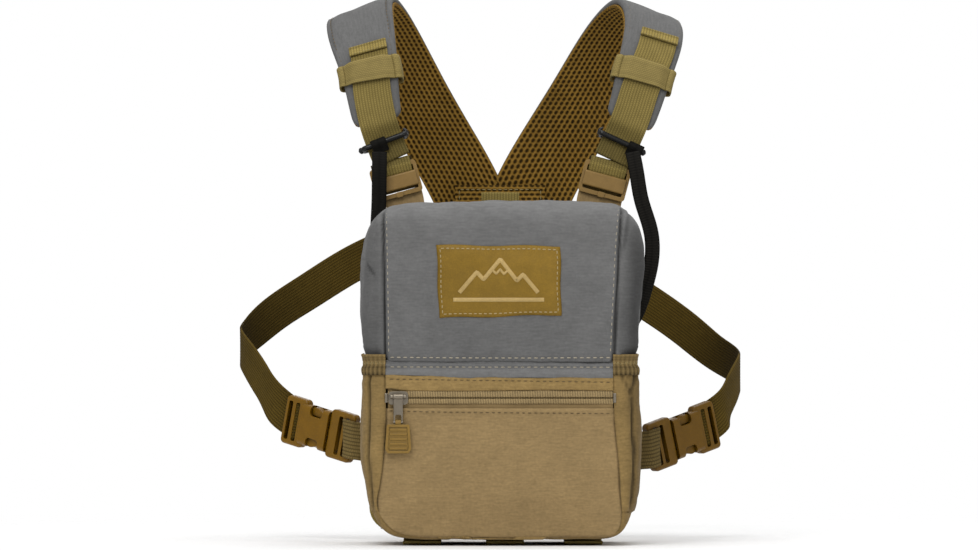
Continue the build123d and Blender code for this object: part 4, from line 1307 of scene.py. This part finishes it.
# ---------------------------------------------------------------- zip
def make_zip():
    pitch = 1.65
    cols = int(2 * ZIP_HALF / pitch * (8))
    x = np.linspace(-ZIP_HALF, ZIP_HALF, cols)
    for name, sign in (("upper", 1), ("lower", -1)):
        q = np.linspace(0, 1, 9)
        z = ZIP_Z + sign * (0.3 + (4.7 if sign > 0 else 3.9) * q)
        grid_x, grid_z = np.meshgrid(x, z if sign > 0 else z[::-1])
        grid_q = np.broadcast_to((q if sign > 0 else q[::-1])[:, None], grid_x.shape)
        rib = np.abs(np.sin(math.pi * (grid_x + 0.25 * sign * grid_q * pitch) / pitch)) ** 0.7
        round_over = np.sqrt(np.clip(1 - (2 * grid_q - 1) ** 2, 0, 1))
        y = -48.9 - 0.7 * round_over ** 0.4 - 0.5 * rib * round_over
        # Painted light on the coil's ribs and painted shade between them.
        obj = sheet(f"zip_coil_{name}", xyz(grid_x, y, grid_z), "zip_coil", 0.0, shade=rib * 0.9 - 0.42)
        place(obj, "root", "zip_coil", "zip_coil")
        tape_z = np.linspace(0, 1, 8)
        low, high = (ZIP_Z + 3.2, 103.0) if sign > 0 else (82.5, ZIP_Z - 3.2)
        tape_x = np.linspace(-ZIP_HALF, ZIP_HALF, steps(148, 2.5))
        tape_x, tape_z = np.meshgrid(tape_x, low + (high - low) * tape_z)
        tape = xyz(tape_x, -48.9 + 0.15 * np.sin(tape_x / 7.0), tape_z)
        tape_obj = sheet(f"zip_tape_{name}", tape, "zip_tape", 0.6, shade=np.full(tape_x.shape, 0.25))
        place(tape_obj, "root", "zip_tape", "zip_tapes")


# ---------------------------------------------------------------- tub, back and base
TUB_ROUND = 16.0


def tub_sheet(inset, top, step):
    """Upright wall and floor of the main compartment, a given distance inside the body's skin."""
    half = BODY_HALF - inset
    deeper = inset - 6.5
    y0, y1 = -30.0 + deeper, 40.0 - deeper
    corner = max(12.0 - deeper, 4.0)
    corners = [(-half, y1, 3.0), (-half, y0, corner), (half, y0, corner), (half, y1, 3.0)]
    x, y = rounded_loop(corners, step).T
    floor = inset
    rows = [xyz(x * share, y * share, floor) for share in np.linspace(0.05, 0.97, 8)]
    for angle in np.linspace(0, math.pi / 2, 8)[1:]:
        d = TUB_ROUND * (1 - math.sin(angle))
        narrow = 1 - d / half * (np.abs(x) / half) ** 2
        rows.append(xyz(x * narrow, y, floor + TUB_ROUND * (1 - math.cos(angle))))
    wall = np.linspace(floor + TUB_ROUND, top, steps(top - floor - TUB_ROUND, step * 1.5))
    rows += [xyz(x, y, z) for z in wall[1:]]
    points = np.array(rows)
    taper = np.interp(points[..., 2], [20, 195], [0.965, 1.0])
    points[..., 0] *= taper
    return points


def make_tub():
    shell = tub_sheet(6.9, 194.6, 4.0)
    shell = raised(shell, np.minimum(0.4 * rough(shell, 20.0, 71), 0.3), wrap=True)
    obj = sheet("main_compartment_cloth", shell, "coyote_cloth", 1.2, wrap=True)
    place(obj, "root", "coyote_cloth", "main_shell")
    liner = tub_sheet(9.4, 190.6, 3.0)
    z = liner[..., 2]
    quilt = hill(((z - 40) % 30) - 15, 2.2)
    liner = raised(liner, -0.9 * quilt * smooth(z, 24, 30) * (z < 186), wrap=True)
    # Painted shade in the quilting grooves.
    shade = -0.2 * quilt
    inside = sheet("compartment_lining", liner, "lining_cloth", 2.4, wrap=True, shade=shade)
    place(inside, "root", "foam", "foam_liner")
    rim = shell[-1]
    binding = tube("compartment_binding", rim - (0, 0, 0.2), 1.7, "strap_webbing", closed=True)
    place(binding, "root", "coyote_cloth")


def hole_depth(u, v):
    """1 inside a mesh hole, 0 on the yarn; the same staggering as the mesh material."""
    column = np.round(v / MESH_COLUMN)
    across = v - column * MESH_COLUMN
    moved = u + np.mod(column, 2) * MESH_ROW / 2
    along = moved - np.round(moved / MESH_ROW) * MESH_ROW
    reach = np.sqrt((along / HOLE_HALF[0]) ** 2 + (across / HOLE_HALF[1]) ** 2)
    return 1 - smooth(reach, 0.55, 1.35)


def make_back_panel():
    """Padded mesh panel that lies on the wearer's chest."""
    pitch = 1.0
    cols, rows = steps(172, pitch) + 1, steps(190, pitch) + 1
    x, z = np.meshgrid(np.linspace(86, -86, cols), np.linspace(6, 196, rows))
    corner_x = np.maximum(np.abs(x) - 72, 0)
    corner_z = np.maximum(np.abs(z - 101) - 81, 0)
    reach = np.sqrt(corner_x**2 + corner_z**2)
    shrink = np.where(reach > 14, 14 / np.maximum(reach, 1e-6), 1.0)
    x = np.sign(x) * (np.minimum(np.abs(x), 72) + corner_x * shrink)
    z = 101 + np.sign(z - 101) * (np.minimum(np.abs(z - 101), 81) + corner_z * shrink)
    edge = 14 - np.minimum(reach, 14)
    edge = np.where(reach > 0, edge, np.minimum(86 - np.abs(x), 95 - np.abs(z - 101)))
    base = xyz(x, 43.4, z)
    crown = 6.0 * np.sqrt(np.clip(edge / 9, 0, 1))
    channel = np.zeros_like(x)
    for height in (64, 138):
        channel = np.maximum(channel, hill(z - height, 3.2) * (np.abs(x) < 74))
    channel = np.maximum(channel, hill(np.abs(x) - 36, 3.2) * hill((z - 101) / 37, 1.02) ** 0.2)
    holes = hole_depth(z, x) * smooth(edge, 3, 5)
    height = crown - 2.2 * channel - 0.7 * holes * (1 - channel)
    base[..., 1] += height
    # Painted shade in the channels and round the rim.
    shade = -0.25 * channel - 0.2 * (1 - smooth(edge, 2.0, 4.0))
    obj = make_object("back_panel_mesh", base.reshape(-1, 3), grid_faces(rows, cols), "spacer_mesh",
                      np.stack([z, x], axis=-1).reshape(-1, 2), shade)
    thicken(obj, 1.0)
    place(obj, "root", "spacer_mesh", "back_panel", "back_board")
    x, z = rounded_loop([(-86, 6, 14.0), (86, 6, 14.0), (86, 196, 14.0), (-86, 196, 14.0)], 3.0).T
    binding = tube("back_panel_binding", xyz(x, 43.6, z), 1.9, "strap_webbing", closed=True, sides=10)
    place(binding, "root", "coyote_cloth")


def make_rear_piping():
    """Bound edge where the body's skin meets the back panel."""
    index = np.linspace(0.2, 20.8, 260)
    _, edge = rim_point(index)
    line = xyz(edge[:, 0], REAR_Y - 0.4, edge[:, 1])
    inward = unit((np.array((0, 0, 60.0)) - line) * (1, 0, 1))
    obj = tube("rear_piping", line + inward * 0.6, 1.6, "strip_cloth", sides=10)
    place(obj, "root", "coyote_cloth")


def make_base_loops():
    for i, x in enumerate((-52, 3, 55)):
        line = [(x, -38, -1.1), (x, -31, -1.2), (x, -25, -2.2), (x, 0, -2.4), (x, 25, -2.2), (x, 31, -1.2),
                (x, 38, -1.1)]
        obj = strap(f"base_loop_{i + 1}", Path(line), (1, 0, 0), "strap_webbing", step=2.0)
        place(obj, "root", "strap_webbing")
        if i == 0:
            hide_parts("base_loops")
        for y in (-34, 34):
            for dx in (-1, 1):
                line = [(x + dx * 11, y - 2, -1.95), (x - dx * 11, y + 2, -1.95)]
                stitch(line, (0, 0, -1), "root", "brown_thread", pitch=2.6, dash=2.0, radius=0.25)


# ---------------------------------------------------------------- shoulder straps
def roll_reference(side):
    return (-side * math.cos(STRAP_ROLL), 0.0, math.sin(STRAP_ROLL))


PAD_TAPER = {
    "left": ([0, 30, 62, 110, 600], [0.70, 0.80, 0.95, 1.0, 1.0]),
    "right": ([0, 30, 62, 110, 170, 600], [0.70, 0.78, 0.86, 0.90, 1.0, 1.0]),
}


def pad_narrow(name):
    """Half-width of a pad as a share of its full one: tapered and rounded at the front end."""
    def share(length):
        tip = np.clip(length / 6.0, 0, 1)
        round_tip = np.sqrt(np.clip(1 - (1 - tip) ** 2, 0, 1))
        return smooth_table(length, *PAD_TAPER[name]) * (0.86 + 0.14 * round_tip)
    return share


def make_pad(name, path):
    side = SIDES[name]
    ref = roll_reference(side)

    def cover(length, across, face):
        edge = PAD_HALF - np.abs(across)
        crown = 0.9 * smooth(edge, 0, 11) - 0.55 * hill(edge - 3.6, 1.2)
        wrinkle = 0.22 * np.sin(length / 3.1 + across / 5.0) * smooth(edge, 0, 12) * np.sin(length / 23.0)
        return np.where(face > 0, crown + wrinkle - 0.6, 0.0)

    # Painted shade over the whole cover, deeper in the groove by the stitches, with a painted highlight near
    # the edge; painted shade on its other faces too.
    def cover_shade(length, across, face):
        edge = PAD_HALF - np.abs(across)
        return np.where(face > 0, -0.18 - 0.22 * hill(edge - 3.6, 1.0) + 0.12 * hill(edge - 1.0, 1.6), -0.2)

    obj = ribbon(f"pad_cover_cloth_{name}", path, (PAD_START, STRAP_END), side, ref, PAD_HALF, 2.15, 7.6,
                 "grey_cloth", step=2.2, count=40, relief=cover, narrow=pad_narrow(name), shade=cover_shade)
    place(obj, "root", "grey_cloth", f"pad_cover_{name}", f"pad_foam_{name}")

    def holes(length, across, face):
        edge = PAD_HALF - np.abs(across)
        return np.where(face < 0, -0.75 * hole_depth(length, across) * smooth(edge, 1.5, 3.0), 0.0)

    step, count = ((0.85, 58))
    mesh = ribbon(f"pad_mesh_knit_{name}", path, (PAD_START, STRAP_END), side, ref, PAD_HALF - 0.2, 0.0, 2.1,
                  "spacer_mesh", step=step, count=count, relief=holes, narrow=pad_narrow(name))
    centre_uv(mesh)
    place(mesh, "root", "spacer_mesh", f"pad_mesh_{name}")
    for sign in (-1, 1):
        shares = np.linspace(PAD_START + 0.012, 0.62, 260)
        centre, wide, out = path.frames(shares, side, ref)
        narrow = pad_narrow(name)((shares - PAD_START) * path.length)[:, None]
        line = centre + wide * sign * (PAD_HALF - 3.6) * narrow + out * 7.25
        stitch(line, out, "root", "brown_thread", pitch=3.8, dash=2.3, radius=0.24, lift=0.0)


def centre_uv(obj):
    """Puts the underside's pattern back on the strap's middle line."""
    layer = obj.data.uv_layers[0].data
    values = np.zeros(len(layer) * 2, np.float32)
    layer.foreach_get("uv", values)
    values = values.reshape(-1, 2)
    values[values[:, 1] > 100, 1] -= 200.0
    layer.foreach_set("uv", values.ravel())


def trim_middle(obj, side):
    """Cuts a strap off just short of the middle plane, where the other one meets it, and closes the cut."""
    bm = bmesh.new()
    bm.from_mesh(obj.data)
    everything = bm.verts[:] + bm.edges[:] + bm.faces[:]
    place_of_cut = (side * MIDDLE_GAP * MM, 0, 0)
    cut = bmesh.ops.bisect_plane(bm, geom=everything, plane_co=place_of_cut, plane_no=(-side, 0, 0),
                                 clear_outer=True)
    edges = [e for e in cut["geom_cut"] if isinstance(e, bmesh.types.BMEdge)]
    bmesh.ops.holes_fill(bm, edges=edges, sides=0)
    bm.to_mesh(obj.data)
    bm.free()


def make_webbing(name, path):
    """Strap through the ladder-lock, the tail over the pad and its folded end."""
    side = SIDES[name]
    ref = roll_reference(side)
    lock = f"ladder_lock_{name}"
    bend = path.at(0.030), path.at(0.004)       # places on the path either side of the ladder-lock
    lower = strap(f"strap_lower_{name}", path, ref, "strap_shadow", side, (LOCK_START, PAD_START - 0.002),
                  low=0.0, high=1.5, step=1.6)
    bridge(lower, "strap_webbing", f"strap_webbing_{name}", "root", lock, *bend)

    def lift(shares):
        return 1.8 + 6.6 * smooth(shares, 0.05, PAD_START - 0.006)

    # Painted shade: the webbing a little darker all along, darker from the ladder-lock up to the keeper, and
    # darker under the band's edge.
    def shade(length, across, face):
        share = length / path.length
        under_band = hill(share + LOCK_START - BAND_START, 0.012)
        return -0.10 - 0.34 * (1 - smooth(share, 0.038, 0.046)) - 0.16 * under_band

    end_share = TAIL_REACH[name]

    def sway(shares):
        return TAIL_SWAY[name] * smooth(shares, 0.13, 0.24)

    tail = strap(f"strap_tail_webbing_{name}", path, ref, "strap_webbing", side, (LOCK_START, end_share),
                 low=0.0, high=1.5, step=1.6, lift=lift, shade=shade, shift=sway)
    bridge(tail, "strap_webbing", f"strap_tail_{name}", "root", lock, *bend)

    # Painted highlight on the fold, with painted shade in the gap between its two tiers and at the end where
    # it begins.
    def fold_shade(length, across, face):
        return 0.15 - 0.5 * hill(length - 5.2, 1.0) - 0.4 * hill(length, 0.9)

    fold = strap(f"strap_tail_fold_{name}", path, ref, "strap_webbing", side,
                 (end_share - 0.017, end_share + 0.001), WEBBING_HALF + 0.3, 1.6, 3.4, lift=lift, shift=sway,
                 shade=fold_shade)
    place(fold, "root", "strap_webbing")
    centre, wide, out = path.frames(end_share - 0.014, side, ref)
    across = TAIL_SWAY[name] + np.linspace(-11, 11, 20)[:, None]
    line = centre + wide * across + out * (lift(0.2) + 3.25)
    stitch(line, out, "root", "khaki_thread", pitch=2.8, dash=1.9, radius=0.24)


def make_strap_band(name, path):
    """Wide elastic keeper round pad and tail."""
    side = SIDES[name]
    ref = roll_reference(side)
    rows = steps((BAND_END - BAND_START) * path.length, 0.9) + 1
    shares = np.linspace(BAND_START, BAND_END, rows)
    centre, wide, out = path.frames(shares, side, ref)
    taper = float(pad_narrow(name)(np.array([(0.178 - PAD_START) * path.length]))[0])
    half, low, high = PAD_HALF * taper + 1.6, -1.6, 8.9
    over = 3.4
    top = np.linspace(-1, 1, 40)
    bump_up = high + (over - 0.7) * (1 - smooth(np.abs(top) * half, WEBBING_HALF - 1, WEBBING_HALF + 7))
    bump_up = bump_up - 0.8 * np.abs(top) ** 4
    corner = np.linspace(0, math.pi / 2, 6)
    flat, bend_sin, bend_cos = half - 3, 3 * np.sin(corner), 3 * np.cos(corner)
    v = np.concatenate([top * flat, flat + bend_sin, flat + bend_cos,
                        -top * flat, -flat - bend_sin, -flat - bend_cos])
    w = np.concatenate([bump_up, high - 3 + bend_cos, low + 3 - bend_sin,
                        np.full(40, low), low + 3 - bend_cos, high - 3 + bend_sin])
    ripple = 0.16 * np.abs(np.sin(math.pi * (shares - BAND_START) * path.length / 1.6))[:, None]
    skew = 1.4 * np.sin((shares - BAND_START) / (BAND_END - BAND_START) * math.pi)[:, None] * 0.2
    across = v[None, :] + skew
    above = w[None, :] + ripple * np.where(w > 4, 1.0, 0.2)
    points = centre[:, None] + wide[:, None] * across[..., None] + out[:, None] * above[..., None]
    far = distances(np.c_[v, w])
    along = (shares - BAND_START) * path.length
    uv = np.stack(np.broadcast_arrays(far[None, :], along[:, None]), axis=-1)
    edge = np.minimum(along, along[-1] - along)[:, None]
    # Painted highlight along the band's edges, with painted shade a little inside them.
    shade = np.broadcast_to(0.12 * hill(edge - 0.8, 1.4) - 0.1 * hill(edge - 3, 1.0), (rows, len(v)))
    obj = make_object(f"strap_elastic_{name}", points.reshape(-1, 3),
                      grid_faces(rows, len(v), wrap=True, flip=side < 0), "elastic_strap",
                      uv.reshape(-1, 2), shade)
    thicken(obj, 1.1)
    place(obj, "root", "elastic_band", f"strap_band_{name}")


def ladder_frame(name):
    """Origin, across, up and outward directions of a ladder-lock."""
    side = SIDES[name]
    across = np.array((math.cos(LADDER_ROLL), 0, -side * math.sin(LADDER_ROLL)))
    out = np.array(FORWARD, float)
    up = np.cross(out, across)
    return np.array(mirror([LADDER_CENTRE], side)[0]), across, up, out


# The cloth tab from its foot up: how far inward of the ladder-lock's foot, then y and z.
ANCHOR_LINE = ((2.8, 42.3, 187.0), (2.6, 42.6, 196.5), (2.4, 45.2, 203.5), (1.4, 47.0, 211.0))


def make_anchor(name):
    """Cloth tab that wraps the ladder-lock's lower bar and is sewn to the back panel."""
    side = SIDES[name]
    origin, across, up, out = ladder_frame(name)
    top = origin - up * 14.4
    sewn = [np.array((top[0] - side * inward, y, z)) for inward, y, z in ANCHOR_LINE]
    seat = sewn[2]
    path = Path(sewn + [top - out * 1.2, origin - up * 8.6 - out * 3.4])

    def ripple(length, across_tab, face):
        return 0.15 * np.sin(across_tab / 2.2 + length / 5.0) * np.abs(face)

    obj = ribbon(f"anchor_tab_cloth_{name}", path, (0, 1), 1, -across, 15.0, -1.0, 1.0, "coyote_cloth",
                 step=1.2, count=20, relief=ripple)
    place(obj, "root", "coyote_cloth", f"anchor_tab_{name}")
    # Courses of the webbing in the lock: up from its centre, and outward.
    behind = ((LOCK_BACKING[name], -3.2), (0.0, -3.3), (6.0, -3.2), (10.4, -2.7), (13.8, -2.2))
    over_bar = ((2.6, -1.6), (5.2, 0.6), (7.2, 1.5), (9.6, 2.6), (11.8, 2.2), (14.0, 1.2))
    # The strips in the lock: painted light on the webbing over the bar, painted shade on the backing, and
    # both darker past 8 mm as painted shade.
    for layer, half, material, tone, places in (
        ("lock_backing", 14.0, "strap_shadow", -0.1, behind),
        ("lock_webbing", WEBBING_HALF, "strap_webbing", 0.25, over_bar),
    ):
        line = [origin + up * a + out * b for a, b in places]
        strip = strap(f"{layer}_{name}", Path(line), across, material, half=half, low=-0.5, high=0.5,
                      shade=lambda l, a, f, tone=tone: tone - 0.5 * smooth(l, 8.0, 9.5))
        place(strip, f"ladder_lock_{name}", "strap_webbing")
    seam = [seat + up * 1.5 + across * t + out * 1.15 for t in np.linspace(-12, 12, 12)]
    stitch(seam, out, "root", "brown_thread", pitch=2.8, dash=2.0, radius=0.25)


def make_keeper(name, path):
    """Black rod keeper round both layers of the strap, with a knob and a small hook."""
    side = SIDES[name]
    centre, wide, out = path.frames(KEEPER_AT, side, roll_reference(side))
    along = path.along(KEEPER_AT)
    half_v, low, high = 15.0, -1.9, 6.4
    corners = [(-half_v, low, 2.0), (half_v, low, 2.0), (half_v, high, 2.0), (-half_v, high, 2.0)]
    loop = rounded_loop(corners, 2.0)
    line = centre + np.outer(loop[:, 0], wide) + np.outer(loop[:, 1], out)
    ring = tube(f"keeper_rod_{name}", line, 1.95, "black_plastic", closed=True, sides=12)
    place(ring, f"keeper_{name}", "black_plastic", f"keeper_{name}")
    knob_line = [centre - wide * (half_v + d) + out * 3.2 for d in np.linspace(0.4, 3.6, 7)]
    knob_radii = [1.2, 1.9, 2.2, 2.3, 2.1, 1.5, 0.4]
    knob = tube(f"keeper_knob_{name}", knob_line, knob_radii, "black_plastic", sides=12)
    place(knob, f"keeper_{name}", "black_plastic")
    hook_root = centre + wide * (half_v + 0.2) + out * 4.6
    hook_line = [hook_root + along * d + wide * 0.8 * math.sin(d) for d in np.linspace(0.0, 4.2, 9)]
    hook_radii = [1.5, 1.5, 1.4, 1.3, 1.2, 1.1, 1.0, 0.8, 0.3]
    hook = tube(f"keeper_hook_{name}", hook_line, hook_radii, "black_plastic")
    place(hook, f"keeper_{name}", "black_plastic")
    hang = centre - wide * TETHER_HANG[name]
    turn = [(-6.0, -1.2), (-3.2, 0.4), (0.2, 2.8), (2.8, 0.2), (0.4, -2.7), (-3.0, -2.7), (-5.4, -2.6)]
    wrap_line = [hang + out * 6.4 + along * a + out * b for a, b in turn]
    wrap = ribbon(f"tether_wrap_{name}", Path(wrap_line), (0, 1), 1, wide, 5.3, -0.6, 0.6, "black_webbing",
                  step=0.6, count=8)
    place(wrap, f"keeper_{name}", "black_webbing")


def make_tether(name, path):
    side = SIDES[name]

    def picks(length, across, face):
        return np.abs(face) * 0.16 * np.abs(np.sin(math.pi * length / 1.8))

    # Painted glints on the picks, much stronger on the right tether.
    def picks_shade(length, across, face):
        gleam = 0.7 if name == "left" else 2.2
        return gleam * np.abs(np.sin(math.pi * length / 1.8)) ** 6

    obj = ribbon(f"tether_webbing_{name}", path, (0, 1), side, (-side, 0, 0), 5.0, -0.7, 0.7,
                 "black_webbing", step=0.6, count=8, relief=picks, shade=picks_shade)
    bridge(obj, "black_webbing", f"tether_{name}", "root", f"keeper_{name}", path.at(0.55), path.at(0.08))


# ---------------------------------------------------------------- belts and buckles
def buckle_frame(name):
    side = SIDES[name]
    start, end = np.array(mirror([PLUG_END[name], SOCKET_END[name]], side))
    along = unit(end - start)
    out = unit(np.cross(along, (0, 0, 1)) * side)
    across = np.cross(out, along)
    return start + along * 22.0, along, across, out


def make_belt(name):
    """Belt from behind the buckle's socket round the body, and the webbing woven through both halves."""
    side = SIDES[name]
    up = (0, 0, 1)
    origin, along, across, out = buckle_frame(name)
    socket = f"buckle_socket_{name}"
    lead = [origin + along * 22.0 - out * 4.6, origin + along * 36.0 - out * 4.6]
    path = Path(mirror(lead, side) + BELT_PATH[name][1:], side)

    shares = np.linspace(0, 1, 400)
    bend = shares[np.argmax(np.abs(path.at(shares)[:, 0]))]

    # Painted shade on the inner face past the far bend.
    def shade(length, across_belt, face):
        share = length / path.length
        past = smooth(share, bend - 0.015, bend + 0.01) * (1 - smooth(share, bend + 0.01, bend + 0.30))
        return 0.08 - BELT_BEND_SHADE[name] * past

    obj = strap(f"belt_webbing_{name}", path, up, "belt_webbing", side, (0.0, STRAP_END), low=-0.75,
                high=0.75, step=2.2, shade=shade)
    trim_middle(obj, side)
    bridge(obj, "belt_webbing", f"belt_{name}", "root", socket, path.at(0.34), origin + along * 41)
    weave = [(23.0, -4.2), (26.0, -3.0), (29.0, 0.0), (32.2, 2.4), (35.2, 0.0), (38.0, -3.0), (40.0, -4.2)]
    line = [origin + along * u + out * w for u, w in weave]
    loop = strap(f"belt_weave_{name}", Path(line), across, "belt_webbing", half=12.6, low=-0.6, high=0.6)
    place(loop, socket, "belt_webbing")
    end = PLUG_END[name]
    dips = [(-9.5, -3.6), (-12.0, -1.6), (-14.4, 2.0), (-16.8, 4.3), (-20.0, 4.7), (-23.5, 4.2)]
    line = [origin + along * u + out * w for u, w in dips]
    line = mirror(line, side) + [(92.0, 46.6, end[2] - 1.4), (88.6, 45.6, end[2] - 2.4)]

    # Painted shade where the short end dips into the plug, and over the whole right one.
    def stub_shade(length, across_belt, face):
        return STUB_SHADE[name] - 0.6 * (1 - smooth(length, 5.5, 8.5))

    piece = strap(f"belt_stub_webbing_{name}", Path(line, side), up, "stub_webbing", side, low=-0.75,
                  high=0.75, shade=stub_shade)
    place(piece, "root", "belt_webbing", f"belt_stub_{name}")


def make_yoke():
    """Patches sewn over the meeting of the straps, one on each side."""
    half, low = 31, 186
    for name, sign, face, top, material in (("inner", -1, 210.6, 237.5, "spacer_mesh"),
                                            ("outer", 1, 227.9, 240.0, "yoke_cloth")):
        x, z = np.meshgrid(-sign * np.linspace(-half, half, 40), np.linspace(low, top, 34))
        edge = np.minimum(half - np.abs(x), np.minimum(z - low, top - z))
        y = face + sign * (-0.5 * hill(edge, 1.2) - 0.3 * hill(edge - 3.0, 1.2))
        points = xyz(x, y, z)
        points[..., 1] += sign * 0.15 * rough(points, 11.0, 81)
        # Painted shade along the stitch line and a painted highlight on the edge.
        shade = -0.15 * hill(edge - 3.0, 1.0) + 0.08 * hill(edge, 1.2)
        obj = sheet(f"yoke_cloth_{name}", points, material, 1.2, shade=shade)
        place(obj, "root", "coyote_cloth", f"yoke_patch_{name}")
        x1, z0, z1 = half - 3, low + 3, top - 3
        box = [(-x1, z0), (x1, z0), (x1, z1), (-x1, z1), (-x1, z0)]
        for (xa, za), (xb, zb) in zip(box, box[1:]):
            line = [(xa, face + sign * 0.1, za), (xb, face + sign * 0.1, zb)]
            stitch(line, (0, sign, 0), "root", "khaki_thread", pitch=3.6, dash=2.4, radius=0.3)


# ---------------------------------------------------------------- CAD pieces that stay
def dress_cad():
    """Materials for the hard CAD nodes that are shown as they are."""
    finishes = {
        "zip_slider": "zip_metal", "pull_link": "zip_metal", "zip_stops": "zip_metal",
        "pull_tab": "pull_plastic", "lid_magnets": "magnet_steel", "body_magnets": "magnet_steel",
    }
    for name in SIDES:
        # The right buckle gets the shaded copy of the buckle plastic: painted shade.
        tone = "buckle_plastic" if name == "left" else "buckle_dark"
        for node in (f"buckle_socket_{name}", f"buckle_plug_{name}", f"prong_{name}_a", f"prong_{name}_b"):
            finishes[node] = tone
        finishes[f"ladder_lock_{name}"] = "lock_plastic"
    for node, finish in finishes.items():
        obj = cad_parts[node]
        obj.data.materials.clear()
        obj.data.materials.append(MATERIALS[finish])


# ---------------------------------------------------------------- studio
def make_studio():
    radius = np.concatenate([[1.0], np.linspace(50, 1300, 26)])
    turn = np.linspace(0, 2 * math.pi, 73)[:-1]
    points = np.array([[(r * math.cos(t), r * math.sin(t), -3.2) for t in turn] for r in radius])
    faces = grid_faces(len(radius), len(turn), wrap=True, flip=True)
    floor = make_object("studio_floor", points.reshape(-1, 3), faces, "studio_floor")
    add_light("key", (-0.7, -2.0, 2.2), 35, 1.5, (0, 0, 0.18))
    add_light("fill", (1.2, -2.3, 0.7), 10, 1.8, (0, 0, 0.16))
    add_light("top", (0.1, 0.3, 2.3), 24, 1.4, (0, 0, 0.2))
    add_light("back", (0.6, 2.2, 1.2), 12, 1.8, (0, 0, 0.2))
    world = bpy.data.worlds.new("studio")
    world.use_nodes = True
    tree = world.node_tree
    background = tree.nodes["Background"]
    background.inputs[0].default_value = (1.0, 1.0, 1.0, 1.0)
    seen = tree.nodes.new("ShaderNodeLightPath").outputs["Is Camera Ray"]
    power = tree.nodes.new("ShaderNodeMapRange")
    power.inputs["To Min"].default_value = 0.50     # what the surroundings give as light
    power.inputs["To Max"].default_value = 1.0      # what the camera sees of them
    tree.links.new(seen, power.inputs["Value"])
    tree.links.new(power.outputs["Result"], background.inputs[1])
    bpy.context.scene.world = world


def add_light(name, where, power, size, target):
    data = bpy.data.lights.new(name, "AREA")
    data.energy = power
    data.size = size
    obj = bpy.data.objects.new(name, data)
    obj.location = where
    aim = Vector(target) - Vector(where)
    obj.rotation_euler = aim.to_track_quat("-Z", "Y").to_euler()
    bpy.context.scene.collection.objects.link(obj)


CAMERA_X = -7.6
CAMERA_Z = 175.6
CAMERA_DISTANCE = 6000.0
SENSOR = 36.0
IMAGE_WIDTH = 978 * 0.66        # millimetres across the image, at the plane of the front face


def make_camera():
    data = bpy.data.cameras.new("camera")
    data.sensor_width = SENSOR
    data.lens = SENSOR * (CAMERA_DISTANCE + FRONT_Y) / IMAGE_WIDTH
    data.clip_end = 50.0
    camera = bpy.data.objects.new("camera", data)
    camera.location = (CAMERA_X * MM, -CAMERA_DISTANCE * MM, CAMERA_Z * MM)
    camera.rotation_euler = (math.pi / 2, 0, 0)
    bpy.context.scene.collection.objects.link(camera)
    bpy.context.scene.camera = camera
    bpy.context.scene.view_settings.view_transform = "Standard"


lid_grid = make_lid()
make_lid_seams(lid_grid)
make_patch(lid_grid)
make_lid_tab()
make_lower_skin()
make_pocket_face()
make_pocket_strip()
make_hinge_cloth()
make_pocket_gusset()
make_zip()
make_tub()
make_back_panel()
make_rear_piping()
make_base_loops()
for side_name in SIDES:
    shoulder = Path(SHOULDER_PATH[side_name], SIDES[side_name])
    make_pad(side_name, shoulder)
    make_webbing(side_name, shoulder)
    make_strap_band(side_name, shoulder)
    make_keeper(side_name, shoulder)
    make_anchor(side_name)
    make_tether(side_name, Path(TETHER_PATH[side_name], SIDES[side_name]))
    make_belt(side_name)
make_yoke()
sew_threads()
dress_cad()
make_studio()
make_camera()
